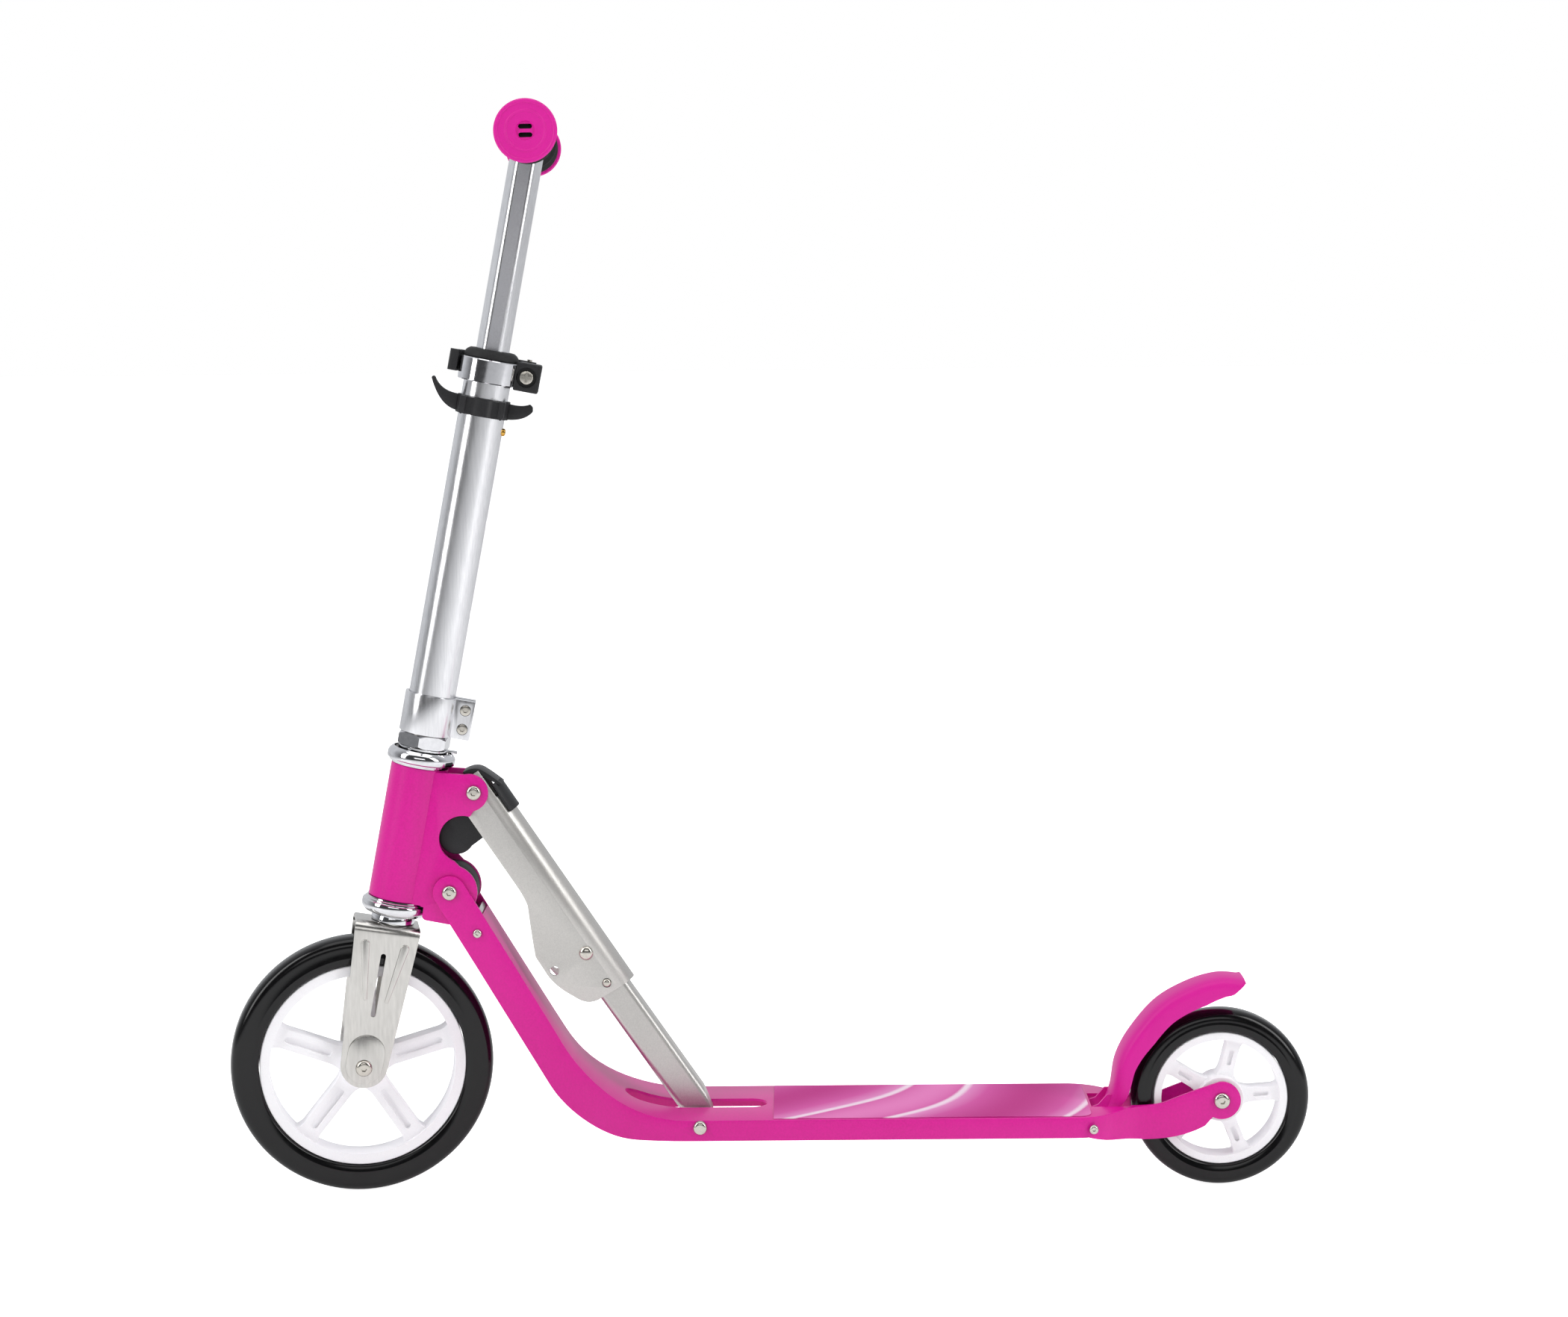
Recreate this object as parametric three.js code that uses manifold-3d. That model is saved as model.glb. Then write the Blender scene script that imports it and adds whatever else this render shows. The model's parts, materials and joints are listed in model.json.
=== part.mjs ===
// A folding kick scooter: a pressed deck with an upswept front arm, a head bracket that folds on it,
// a two-part folding strut that locks the fold, a steered fork, a telescopic bar and a foot brake.
// Units are millimetres. +Z is up, -X is forward, and the wheels' axles run along Y at rest, except
// that the front wheel stands a little turned, as the scooter does when it is put down.
import * as THREE from "three";
import { mergeVertices } from "three/addons/utils/BufferGeometryUtils.js";
import Module from "manifold-3d";

const wasm = await Module();
wasm.setup();

// ---------------------------------------------------------------- driving dimensions
const TURN = Math.PI / 180;
const GAP = 0.3; // between pieces that touch
const RUN = 0.4; // between pieces that turn or slide on each other

// wheels
const frontWheelR = 102.5;
const rearWheelR = 70;
const wheelbase = 673;
const tyreWidth = 26;
const tyreShoulder = 7; // rounding between a tyre's side and its tread
const frontRimR = 80.2; // where the tyre meets the core
const rearRimR = 52.4;
const frontRimDepth = 8; // from the tyre's seat in to the spoke windows
const rearRimDepth = 6;
const rimWidth = 22;
const hubR = 18;
const hubWidth = tyreWidth + 2;
const frontSpokeWidth = 16;
const rearSpokeWidth = 11;
const spokeThickness = 15;
const spokeCount = 5;
const frontSpokeTurn = 46; // degrees from the fork's rearward direction to the first spoke
const rearSpokeTurn = -4;
const bearingR = 11;
const bearingWidth = 7;
const axleR = 4;
const legGap = tyreWidth + 7; // between the insides of the fork's legs, and of the deck's ears
const legSheet = 2.5;

// steering axis and rest angles
const headTilt = 11.09 * TURN;
const wheelTrailOffset = 4; // the front axle stands this far ahead of the steering axis
const steerAtRest = 10.4 * TURN;
const barTwist = -6.6 * TURN; // the column is clamped a little out of line with the fork

// heights along the steering axis, from the foot of the front axle on it
const crownTop = 115;
const headBottom = 134.5;
const headTop = 240.5;
const collarBottom = 266.5;
const collarTop = 297;
const clipBottom = 516;
const clipTop = 530;
const bandBottom = 541.8;
const bandTop = 559.6;
const bushTop = 567;
const barHeight = 728.6;
const snapHeight = 506.3; // the highest of the height holes
const snapPitch = 71.7; // from one height hole to the next
const snapCount = 3;
const snapR = 3;

// tubes round the steering axis
const steererR = 14.3;
const steererWall = 2.3;
const steererTop = 290;
const headTubeR = 22.2;
const headTubeWall = 2.7;
const cupR = 26.3;
const columnR = 18.1;
const columnWall = 2.5;
const hexCornerR = 13.7;
const hexWall = 2;
const hexBottom = 445;
const collarWall = 2.4;
const bandWall = 4.8;

// fork
const crownHalf = 25.6; // half of a leg's width at the crown
const legHalf = 18.4; // and at the axle
const bendR = 8;
const bossHalf = 14.5;
const bossTop = 26.4;
const bossProud = 1.2;

// handlebar
const barLength = 356.6;
const crossbarR = 11;
const gripR = 16;
const gripLength = 112;
const gripFlangeR = 20;
const capR = 22.6;
const capThickness = 4.5;

// fold linkage, as places in the side view: arm pivot, strut top, knee and strut foot
const armPivot = new THREE.Vector2(73.3, 240.1);
const strutTop = new THREE.Vector2(93.2, 317.7);
const knee = new THREE.Vector2(178, 190.3);
const strutFoot = new THREE.Vector2(266.4, 61);
const foldAngle = 75.5 * TURN; // how far the bracket folds back

// head bracket
const plateY = 17.5; // outer face of each bracket plate
const plateSheet = 3;
const lobeR = 21.2; // lower lobe, round the arm pivot
const topLobeR = 14.7;
const topLobeShift = 3.6; // the upper lobe's centre stands ahead of its bolt
const notch = new THREE.Vector2(84, 281.3);
const notchR = 18.4;

// strut
const channelY = plateY - plateSheet - GAP + 0.05; // half of the channel's width
const channelSheet = 2.1;
const channelBackCentre = 4.5; // the rounded back's centre, behind the line of the bolts
const channelTail = 35.8; // how far the channel runs past the knee
const cheekFront = 14.6; // the cheeks' front edge, ahead of the line of the bolts
const cheekSwell = 34.4; // and where they widen round the knee
const tubeHalfDepth = 12.6;
const tubeY = channelY - channelSheet - 1.75;
const tubeCornerR = 5;
const tubeEndR = 8.4;
const tubeFootR = 8.6;
const kneeButtonReach = 28.4; // from the knee to the button, and to the second hole
const kneeButtonR = 3.3;
const kneeRivetR = 5.6;

// deck
const deckWidth = 108;
const deckTop = 66.5;
const deckBottom = 50.3;
const deckSheet = 2;
const armAngle = 59.2 * TURN;
const armHalf = 12.95; // half of the arm's depth in the side view
const armY = plateY + 3.5; // outer face of each arm cheek
const armTopBend = 113; // bend of the walking surface into the arm
const armBottomBend = 80;
const armWebStart = 28; // from the arm pivot to the start of the arm's web
const slotHalf = tubeY + 3;
const slotFrontX = 206;
const slotRearX = 318;
const deckRearX = wheelbase - 81;
const notchFrontX = wheelbase - 102;
const notchRearX = wheelbase - 71;
const notchHalf = 21;
const earEndR = 14.8;
const gripTape = 0.8;

// brake
const brakePivot = new THREE.Vector2(wheelbase - 103.4, 57.4);
const brakePinR = 2.6;
const fenderHalf = tyreWidth / 2 + 6.5;
const fenderSheet = 2.4;
const fenderLip = 9;

// fasteners
const pivotBoltR = 4;
const pivotHeadR = 6;
const headRise = 3.4;
const footBoltR = 2.6;
const footHeadR = 5.6;

// facets
const fine = 36;
const round = 20;
const coarse = 10;

// ---------------------------------------------------------------- materials
const finishes = {
  pink: { color: 0xe62ba6, roughness: 0.42, metalness: 0 },
  print: { color: 0xe6a9d6, roughness: 0.55, metalness: 0 },
  black: { color: 0x1c1c1e, roughness: 0.6, metalness: 0 },
  tyre: { color: 0x0e0e10, roughness: 0.18, metalness: 0 },
  white: { color: 0xf1eef2, roughness: 0.45, metalness: 0 },
  satin: { color: 0xc3c4c4, roughness: 0.38, metalness: 1 },
  chrome: { color: 0xd9d9dc, roughness: 0.1, metalness: 1 },
  stamped: { color: 0xb7b6b2, roughness: 0.33, metalness: 1 },
  nickel: { color: 0xc9c1b4, roughness: 0.2, metalness: 1 },
  brass: { color: 0xc59a3f, roughness: 0.25, metalness: 1 },
};

// ---------------------------------------------------------------- helpers
// A closed three.js geometry as a solid that can be joined and cut.
function solid(geometry) {
  const loose = geometry.index ? geometry.toNonIndexed() : geometry;
  const bare = new THREE.BufferGeometry();
  bare.setAttribute("position", loose.getAttribute("position"));
  const merged = mergeVertices(bare, 1e-4);
  const kept = [];
  const corners = merged.index.array;
  for (let i = 0; i < corners.length; i += 3) {
    const [a, b, c] = [corners[i], corners[i + 1], corners[i + 2]];
    if (a !== b && b !== c && c !== a) kept.push(a, b, c);
  }
  return new wasm.Manifold(
    new wasm.Mesh({
      numProp: 3,
      vertProperties: merged.attributes.position.array,
      triVerts: new Uint32Array(kept),
    }),
  );
}

function mesh(name, body, finish) {
  const faces = body.getMesh();
  const geometry = new THREE.BufferGeometry();
  geometry.setAttribute("position", new THREE.BufferAttribute(faces.vertProperties, 3));
  geometry.setIndex(new THREE.BufferAttribute(faces.triVerts, 1));
  const flat = geometry.toNonIndexed();
  flat.computeVertexNormals();
  const made = new THREE.Mesh(flat, new THREE.MeshStandardMaterial(finishes[finish]));
  made.name = name;
  return made;
}

const joined = (...solids) => solids.reduce((all, next) => all.add(next));
const cut = (body, ...tools) => tools.reduce((left, tool) => left.subtract(tool), body);
const both = (make) => joined(make(-1), make(1));

// A side-view outline (x, z) given thickness from y0 to y1.
function slab(shape, y0, y1, facets = round) {
  const geometry = new THREE.ExtrudeGeometry(shape, {
    depth: y1 - y0,
    bevelEnabled: false,
    curveSegments: facets,
  });
  return solid(geometry.rotateX(Math.PI / 2).translate(0, y1, 0));
}

// A plan outline (x, y) given height from z0 to z1.
function block(shape, z0, z1, facets = round) {
  const geometry = new THREE.ExtrudeGeometry(shape, {
    depth: z1 - z0,
    bevelEnabled: false,
    curveSegments: facets,
  });
  return solid(geometry.translate(0, 0, z0));
}

function box(x0, x1, y0, y1, z0, z1) {
  const geometry = new THREE.BoxGeometry(x1 - x0, y1 - y0, z1 - z0);
  return solid(geometry.translate((x0 + x1) / 2, (y0 + y1) / 2, (z0 + z1) / 2));
}

function outline(points) {
  return new THREE.Shape(points.map(([x, y]) => new THREE.Vector2(x, y)));
}

// A ring or disc round the local Y axis (wheels, bolts) or the local Z axis (steering parts).
// The profile is a closed outline of [radius, height] points, counter-clockwise.
function turned(profile, along, facets = round) {
  const closed = [...profile, profile[0]].map(([r, h]) => new THREE.Vector2(r, h));
  const geometry = new THREE.LatheGeometry(closed, facets);
  if (along === "z") geometry.rotateX(Math.PI / 2);
  return outward(solid(geometry));
}

function outward(body) {
  return body.volume() < 0 ? flipped(body) : body;
}

// The same solid with its faces turned round.
function flipped(body) {
  const faces = body.getMesh();
  const turnedFaces = new Uint32Array(faces.triVerts.length);
  for (let i = 0; i < turnedFaces.length; i += 3) {
    turnedFaces[i] = faces.triVerts[i];
    turnedFaces[i + 1] = faces.triVerts[i + 2];
    turnedFaces[i + 2] = faces.triVerts[i + 1];
  }
  return new wasm.Manifold(
    new wasm.Mesh({ numProp: 3, vertProperties: faces.vertProperties, triVerts: turnedFaces }),
  );
}

const pipe = (inner, outer, low, high, along, facets) =>
  turned(
    [
      [inner, low],
      [outer, low],
      [outer, high],
      [inner, high],
    ],
    along,
    facets,
  );
const rod = (r, low, high, along, facets) => pipe(0, r, low, high, along, facets);
const rodAt = (place, r, low, high, facets) =>
  rod(r, low, high, "y", facets).translate(place.x, 0, place.y);

// A cross bolt at a place in the side view: a domed, socketed head outside each of its two walls.
function crossBolt(place, shankR, headR, reach, facets = coarse) {
  const dome = [
    [0, 0],
    [headR, 0],
    [headR, headRise * 0.35],
    [headR * 0.8, headRise * 0.8],
    [headR * 0.45, headRise],
    [0, headRise],
  ];
  const socket = rod(headR * 0.32, headRise * 0.45, headRise + 1, "y", 6);
  const head = cut(turned(dome, "y", facets), socket);
  const shank = rod(shankR, -reach - 0.1, reach + 0.1, "y", facets);
  const near = head.rotate(180, 0, 0).translate(0, -reach, 0);
  return joined(shank, head.translate(0, reach, 0), near).translate(place.x, 0, place.y);
}

// ---------------------------------------------------------------- fold geometry
const turnedBack = (point, centre, angle) => point.clone().rotateAround(centre, -angle);
const upperLink = strutTop.distanceTo(knee);
const lowerLink = knee.distanceTo(strutFoot);
const channelAngle = Math.atan2(knee.y - strutTop.y, knee.x - strutTop.x);
const tubeAngle = Math.atan2(strutFoot.y - knee.y, strutFoot.x - knee.x);
const foldedTop = turnedBack(strutTop, armPivot, foldAngle);
const span = foldedTop.distanceTo(strutFoot);
const spanAngle = Math.atan2(strutFoot.y - foldedTop.y, strutFoot.x - foldedTop.x);
const cornerAt = (near, far, away) =>
  Math.acos((near * near + far * far - away * away) / (2 * near * far));
const foldedChannel = spanAngle + cornerAt(upperLink, span, lowerLink);
const foldedTube = spanAngle - cornerAt(lowerLink, span, upperLink);
const kneeBend = foldedChannel - channelAngle - (foldedTube - tubeAngle);
// How far each strut half turns while the bracket folds: the couplings' end values.
export const strutTurns = {
  channel: -(foldedChannel - channelAngle) - foldAngle,
  tube: -(foldedTube - tubeAngle),
  bracket: foldAngle,
};

// ---------------------------------------------------------------- frames
// Everything below is placed from the front axle's foot on the ground, and this group centres it.
const scooter = new THREE.Group();
const frontX = -(wheelbase + rearWheelR - frontWheelR) / 2;
scooter.position.x = frontX;

const steering = new THREE.Group(); // z up the steering axis, x rearward, wheels straight
steering.position.set(
  wheelTrailOffset * Math.cos(headTilt),
  0,
  frontWheelR - wheelTrailOffset * Math.sin(headTilt),
);
steering.rotation.y = headTilt;
const forkGroup = new THREE.Group();
forkGroup.rotation.z = steerAtRest;
const columnGroup = new THREE.Group();
columnGroup.rotation.z = barTwist;
const frontWheelGroup = new THREE.Group();
frontWheelGroup.position.x = -wheelTrailOffset;
const rearWheelGroup = new THREE.Group();
rearWheelGroup.position.set(wheelbase, 0, rearWheelR);
scooter.add(steering, rearWheelGroup);
steering.add(forkGroup);
forkGroup.add(columnGroup, frontWheelGroup);

// x and z of the strut channel's own line: along from the strut top, ahead towards the front wheel
const along = new THREE.Vector2(Math.cos(channelAngle), Math.sin(channelAngle));
const ahead = new THREE.Vector2(Math.sin(channelAngle), -Math.cos(channelAngle));
const onChannel = (u, v) => [
  strutTop.x + along.x * u + ahead.x * v,
  strutTop.y + along.y * u + ahead.y * v,
];
const headAxis = (r, h) => [
  steering.position.x + r * Math.cos(headTilt) + h * Math.sin(headTilt),
  steering.position.z - r * Math.sin(headTilt) + h * Math.cos(headTilt),
];
// A solid made round the steering axis, moved to where the frame holds it.
const onHead = (body) =>
  body
    .rotate(0, headTilt / TURN, 0)
    .translate(steering.position.x, 0, steering.position.z);

// ---------------------------------------------------------------- wheels
function tyre(wheelR, rimR) {
  const half = tyreWidth / 2;
  const crown = wheelR - tyreShoulder;
  const inner = rimR + GAP;
  const profile = [
    [inner, -rimWidth / 2],
    [inner + 2, -half],
    [crown, -half],
  ];
  for (const turn of [22, 45, 68]) {
    profile.push([
      crown + tyreShoulder * Math.sin(turn * TURN),
      -half + tyreShoulder * (1 - Math.cos(turn * TURN)) * 1.3,
    ]);
  }
  profile.push([wheelR, 0]);
  const far = profile.slice(0, -1).map(([r, y]) => [r, -y]);
  return turned([...profile, ...far.reverse()], "y", fine);
}

function core(rimR, rimDepth, spokeWidth, firstSpoke) {
  const windowR = rimR - rimDepth;
  const half = spokeWidth / 2;
  const grooveHalf = spokeWidth / 6;
  const rim = pipe(windowR, rimR, -rimWidth / 2, rimWidth / 2, "y", fine);
  const hub = rod(hubR, -hubWidth / 2, hubWidth / 2, "y", fine);
  let wheel = joined(rim, hub);
  for (let i = 0; i < spokeCount; i += 1) {
    const spoke = outline([
      [hubR - 4, -half - 3],
      [hubR + 6, -half],
      [windowR - 8, -half],
      [windowR + 1, -half - 5],
      [windowR + 1, half + 5],
      [windowR - 8, half],
      [hubR + 6, half],
      [hubR - 4, half + 3],
    ]);
    const groove = outline([
      [hubR + 8, -grooveHalf],
      [windowR - 6, -grooveHalf],
      [windowR - 6, grooveHalf],
      [hubR + 8, grooveHalf],
    ]);
    const bar = slab(spoke, -spokeThickness / 2, spokeThickness / 2);
    const deep = spokeThickness / 2 - 3;
    const cutBar = cut(bar, slab(groove, -9, -deep), slab(groove, deep, 9));
    const turn = firstSpoke + (360 / spokeCount) * i;
    wheel = wheel.add(cutBar.rotate(0, -turn, 0));
  }
  const seat = hubWidth / 2 - bearingWidth - GAP;
  return cut(
    wheel,
    rod(bearingR - 2, -hubWidth, hubWidth, "y"),
    rod(bearingR + GAP, -hubWidth, -seat, "y"),
    rod(bearingR + GAP, seat, hubWidth, "y"),
  );
}

// Two ball bearings on the sleeve that keeps them apart.
function bearings() {
  const end = hubWidth / 2;
  const seat = end - bearingWidth;
  return joined(
    pipe(axleR + RUN, axleR + 2.6, -end, end, "y", round),
    pipe(axleR + RUN, bearingR, -end, -seat, "y", round),
    pipe(axleR + RUN, bearingR, seat, end, "y", round),
  );
}

const spacer = (side) => {
  const inner = hubWidth / 2 + GAP;
  const outer = legGap / 2 - GAP;
  return side < 0
    ? pipe(axleR + RUN, axleR + 3, -outer, -inner, "y", coarse)
    : pipe(axleR + RUN, axleR + 3, inner, outer, "y", coarse);
};

// The axle bolt's own head and shank, and the barrel nut on its far end.
function axleBolt(reach) {
  const bolt = crossBolt(new THREE.Vector2(0, 0), axleR, 6.5, reach);
  return cut(bolt, box(-9, 9, reach - legSheet, reach + 9, -9, 9));
}

function axleNut(reach) {
  const nut = crossBolt(new THREE.Vector2(0, 0), axleR, 6.5, reach);
  const kept = nut.intersect(box(-9, 9, reach - legSheet + GAP, reach + 9, -9, 9));
  return kept;
}

const frontCore = core(frontRimR, frontRimDepth, frontSpokeWidth, frontSpokeTurn);
const rearCore = core(rearRimR, rearRimDepth, rearSpokeWidth, rearSpokeTurn);
for (const [group, name, wheelR, rimR, wheelCore] of [
  [frontWheelGroup, "front_wheel", frontWheelR, frontRimR, frontCore],
  [rearWheelGroup, "rear_wheel", rearWheelR, rearRimR, rearCore],
]) {
  group.add(mesh(`${name}_tyre`, tyre(wheelR, rimR), "tyre"));
  group.add(mesh(`${name}_core`, wheelCore, "white"));
  group.add(mesh(`${name}_bearings`, bearings(), "chrome"));
}

const legOuter = legGap / 2 + legSheet;
const forkReach = legOuter + bossProud + GAP;
const earReach = legOuter + GAP;
for (const [group, name, reach] of [
  [frontWheelGroup, "fork", forkReach],
  [rearWheelGroup, "rear", earReach],
]) {
  group.add(mesh(`${name}_axle_bolt`, axleBolt(reach), "nickel"));
  group.add(mesh(`${name}_axle_nut`, axleNut(reach), "nickel"));
  group.add(mesh(`${name}_spacer_left`, spacer(-1), "nickel"));
  group.add(mesh(`${name}_spacer_right`, spacer(1), "nickel"));
}

// ---------------------------------------------------------------- fork
// Two legs and a crown bent from one sheet, with the steerer tube welded into the crown.
function fork() {
  const centre = -wheelTrailOffset;
  const leg = new THREE.Shape();
  leg.moveTo(centre - legHalf, 2);
  leg.absarc(centre, 2, legHalf, Math.PI, 0, false);
  leg.lineTo(centre + crownHalf, crownTop);
  leg.lineTo(centre - crownHalf, crownTop);
  leg.closePath();
  const strip = new THREE.Shape();
  const outer = legOuter;
  strip.moveTo(-outer, -legHalf);
  strip.lineTo(-outer, crownTop - bendR);
  strip.absarc(-outer + bendR, crownTop - bendR, bendR, Math.PI, Math.PI / 2, true);
  strip.lineTo(outer - bendR, crownTop);
  strip.absarc(outer - bendR, crownTop - bendR, bendR, Math.PI / 2, 0, true);
  strip.lineTo(outer, -legHalf);
  strip.lineTo(outer - legSheet, -legHalf);
  strip.lineTo(outer - legSheet, crownTop - bendR);
  const innerBend = bendR - legSheet;
  strip.absarc(outer - bendR, crownTop - bendR, innerBend, 0, Math.PI / 2, false);
  strip.lineTo(-outer + bendR, crownTop - legSheet);
  strip.absarc(-outer + bendR, crownTop - bendR, innerBend, Math.PI / 2, Math.PI, false);
  strip.lineTo(-outer + legSheet, -legHalf);
  strip.closePath();
  const bent = solid(
    new THREE.ExtrudeGeometry(strip, {
      depth: crownHalf * 2,
      bevelEnabled: false,
      curveSegments: 5,
    })
      .rotateX(Math.PI / 2)
      .rotateZ(Math.PI / 2)
      .translate(centre - crownHalf, 0, 0),
  );
  const legs = bent.intersect(slab(leg, -outer - 1, outer + 1, coarse));
  const boss = new THREE.Shape();
  boss.absarc(centre, 1.5, bossHalf, Math.PI, 0, false);
  boss.absarc(centre, bossTop - bossHalf, bossHalf, 0, Math.PI, false);
  const bosses = both((side) =>
    side < 0
      ? slab(boss, -outer - bossProud, -outer + 0.5, 8)
      : slab(boss, outer - 0.5, outer + bossProud, 8),
  );
  const slit = outline([
    [centre - 2, 41],
    [centre + 2, 41],
    [centre + 2, 92],
    [centre - 2, 92],
  ]);
  const steerer = pipe(steererR - steererWall, steererR, crownTop - legSheet, steererTop, "z");
  return cut(
    joined(legs, bosses, steerer),
    slab(slit, -outer - 5, outer + 5),
    rodAt(new THREE.Vector2(centre, 0), axleR + GAP, -outer - 5, outer + 5, coarse),
    rod(steererR - steererWall, crownTop - 9, crownTop + 5, "z"),
  );
}
forkGroup.add(mesh("fork", fork(), "stamped"));

// ---------------------------------------------------------------- headset
const bore = steererR + RUN;
forkGroup.add(
  mesh(
    "crown_race",
    turned(
      [
        [steererR + GAP, crownTop + GAP],
        [17, crownTop + GAP],
        [17, crownTop + 4],
        [16, crownTop + 6],
        [steererR + GAP, crownTop + 6],
      ],
      "z",
    ),
    "chrome",
  ),
);

const cupSeat = headTubeR - headTubeWall - GAP;
const lowerCup = turned(
  [
    [bore + 3.5, crownTop + 7],
    [22.4, crownTop + 7],
    [25.4, crownTop + 9.5],
    [cupR, headBottom - 8],
    [cupR, headBottom - 4],
    [23, headBottom - GAP],
    [cupSeat, headBottom - GAP],
    [cupSeat, headBottom + 9],
    [cupSeat - 2, headBottom + 9],
    [cupSeat - 2, headBottom - 3],
    [bore + 6.5, headBottom - 3],
    [bore + 6.5, crownTop + 9],
    [bore + 3.5, crownTop + 9],
  ],
  "z",
);
const upperCup = turned(
  [
    [cupSeat - 2, headTop - 9],
    [cupSeat, headTop - 9],
    [cupSeat, headTop + GAP],
    [22.6, headTop + GAP],
    [25.2, headTop + 3],
    [cupR, headTop + 5],
    [cupR, headTop + 9],
    [23.6, headTop + 12.5],
    [bore + 7.5, headTop + 12.5],
    [bore + 7.5, headTop + 3],
    [cupSeat - 2, headTop + 3],
  ],
  "z",
);
scooter.add(mesh("lower_headset_cup", onHead(lowerCup), "chrome"));
scooter.add(mesh("upper_headset_cup", onHead(upperCup), "chrome"));
scooter.add(
  mesh(
    "lower_headset_bearing",
    onHead(pipe(bore, bore + 6, crownTop + 9.5, headBottom - 4, "z")),
    "nickel",
  ),
);
scooter.add(
  mesh(
    "upper_headset_bearing",
    onHead(pipe(bore, bore + 7, headTop + 3.5, headTop + 9, "z")),
    "nickel",
  ),
);
const raceTop = headTop + 14.6;
forkGroup.add(
  mesh(
    "upper_race",
    joined(
      pipe(steererR + GAP, 19, headTop + 9.6, raceTop, "z", round),
      box(steererR + 2, cupR + 0.6, -3, 3, raceTop - 1.6, raceTop),
    ),
    "chrome",
  ),
);
forkGroup.add(
  mesh(
    "lock_nut",
    cut(
      rod(21.4, raceTop + GAP, collarBottom - 1, "z", 6).intersect(
        turned(
          [
            [0, raceTop + GAP],
            [20, raceTop + GAP],
            [21.4, raceTop + 2],
            [21.4, collarBottom - 3],
            [19.6, collarBottom - 1],
            [0, collarBottom - 1],
          ],
          "z",
        ),
      ),
      rod(steererR + GAP, raceTop - 1, collarBottom + 1, "z"),
    ),
    "chrome",
  ),
);

// ---------------------------------------------------------------- column and its clamps
const columnBore = columnR - columnWall;
// A round bar that points rearward from the steering axis, for the height button and its holes.
const snapHole = (r, x0, x1, height) =>
  rod(r, x0, x1, "z", coarse).rotate(0, 90, 0).translate(0, 0, height);
function column() {
  let tube = pipe(columnBore, columnR, collarBottom + GAP, bandTop, "z", round);
  for (let i = 0; i < snapCount; i += 1) {
    tube = tube.subtract(snapHole(snapR + RUN, 0, columnR + 5, snapHeight - i * snapPitch));
  }
  return tube.subtract(box(0, columnR + 2, -1.2, 1.2, bandBottom - 8, bandTop + 1));
}
columnGroup.add(mesh("column_tube", column(), "satin"));

const collarR = columnR + GAP + collarWall;
const earOut = columnR + 15.9;
const collarScrewX = columnR + 9.3;
const collarScrewHeights = [collarBottom + 8, collarTop - 7.6];
function bottomCollar() {
  const ring = pipe(columnR + GAP, collarR, collarBottom, collarTop, "z", round);
  const lug = box(columnR + 0.6, earOut, -8, 8, collarBottom, collarTop);
  const body = cut(
    joined(ring, lug),
    rod(columnR + GAP, collarBottom - 1, collarTop + 1, "z"),
    box(columnR - 4, earOut + 1, -1.3, 1.3, collarBottom - 1, collarTop + 1),
  );
  const holes = collarScrewHeights.map((h) =>
    rodAt(new THREE.Vector2(collarScrewX, h), 2.5 + GAP, -9, 9, coarse),
  );
  const seats = collarScrewHeights.map((h) =>
    rodAt(new THREE.Vector2(collarScrewX, h), 4.1 + GAP, -9, -4.5, coarse),
  );
  return cut(body, ...holes, ...seats);
}
columnGroup.add(mesh("bottom_collar", bottomCollar(), "satin"));
["lower", "upper"].forEach((name, i) => {
  const head = cut(rod(4.1, -8.4, -4.8, "y", coarse), rod(2, -9, -6.4, "y", 6));
  const screw = joined(head, rod(2.5, -5, 7.6, "y", coarse));
  const placed = screw.translate(collarScrewX, 0, collarScrewHeights[i]);
  columnGroup.add(mesh(`collar_screw_${name}`, placed, "nickel"));
});

// A spring clip round the column: a ring, a cradle towards one side and a horn fore and aft.
function columnClip() {
  const ringR = columnR + GAP + 2;
  const ring = pipe(columnR + GAP, ringR, clipBottom, clipTop, "z", round);
  const horn = new THREE.Shape();
  horn.moveTo(-ringR + 1, clipBottom + 1);
  horn.quadraticCurveTo(-ringR - 12.6, clipBottom + 2, -ringR - 22, clipBottom + 22.6);
  horn.lineTo(-ringR - 19.4, clipBottom + 23.6);
  horn.quadraticCurveTo(-ringR - 12.6, clipTop + 1.5, -ringR + 1, clipTop - 0.5);
  horn.closePath();
  const tail = new THREE.Shape();
  tail.moveTo(ringR - 1, clipBottom + 0.6);
  tail.quadraticCurveTo(ringR + 12.6, clipBottom + 1.6, ringR + 18, clipTop - 4);
  tail.lineTo(ringR + 17.2, clipTop - 0.4);
  tail.lineTo(ringR + 14.2, clipTop + 1.2);
  tail.lineTo(ringR - 1, clipTop - 0.2);
  tail.closePath();
  const cradle = joined(
    box(-17.4, -12.8, -columnR - 10.9, -columnR + 3.5, clipBottom, clipTop),
    box(12.8, 17.4, -columnR - 10.9, -columnR + 3.5, clipBottom, clipTop),
    box(-13, 13, -columnR - 5.9, -columnR + 0.1, clipBottom, clipTop),
  );
  return cut(
    joined(ring, slab(horn, -5, 5, 6), slab(tail, -5, 5, 6), cradle),
    rod(columnR + GAP, clipBottom - 1, clipTop + 1, "z"),
  );
}
columnGroup.add(mesh("column_clip", columnClip(), "black"));

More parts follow.
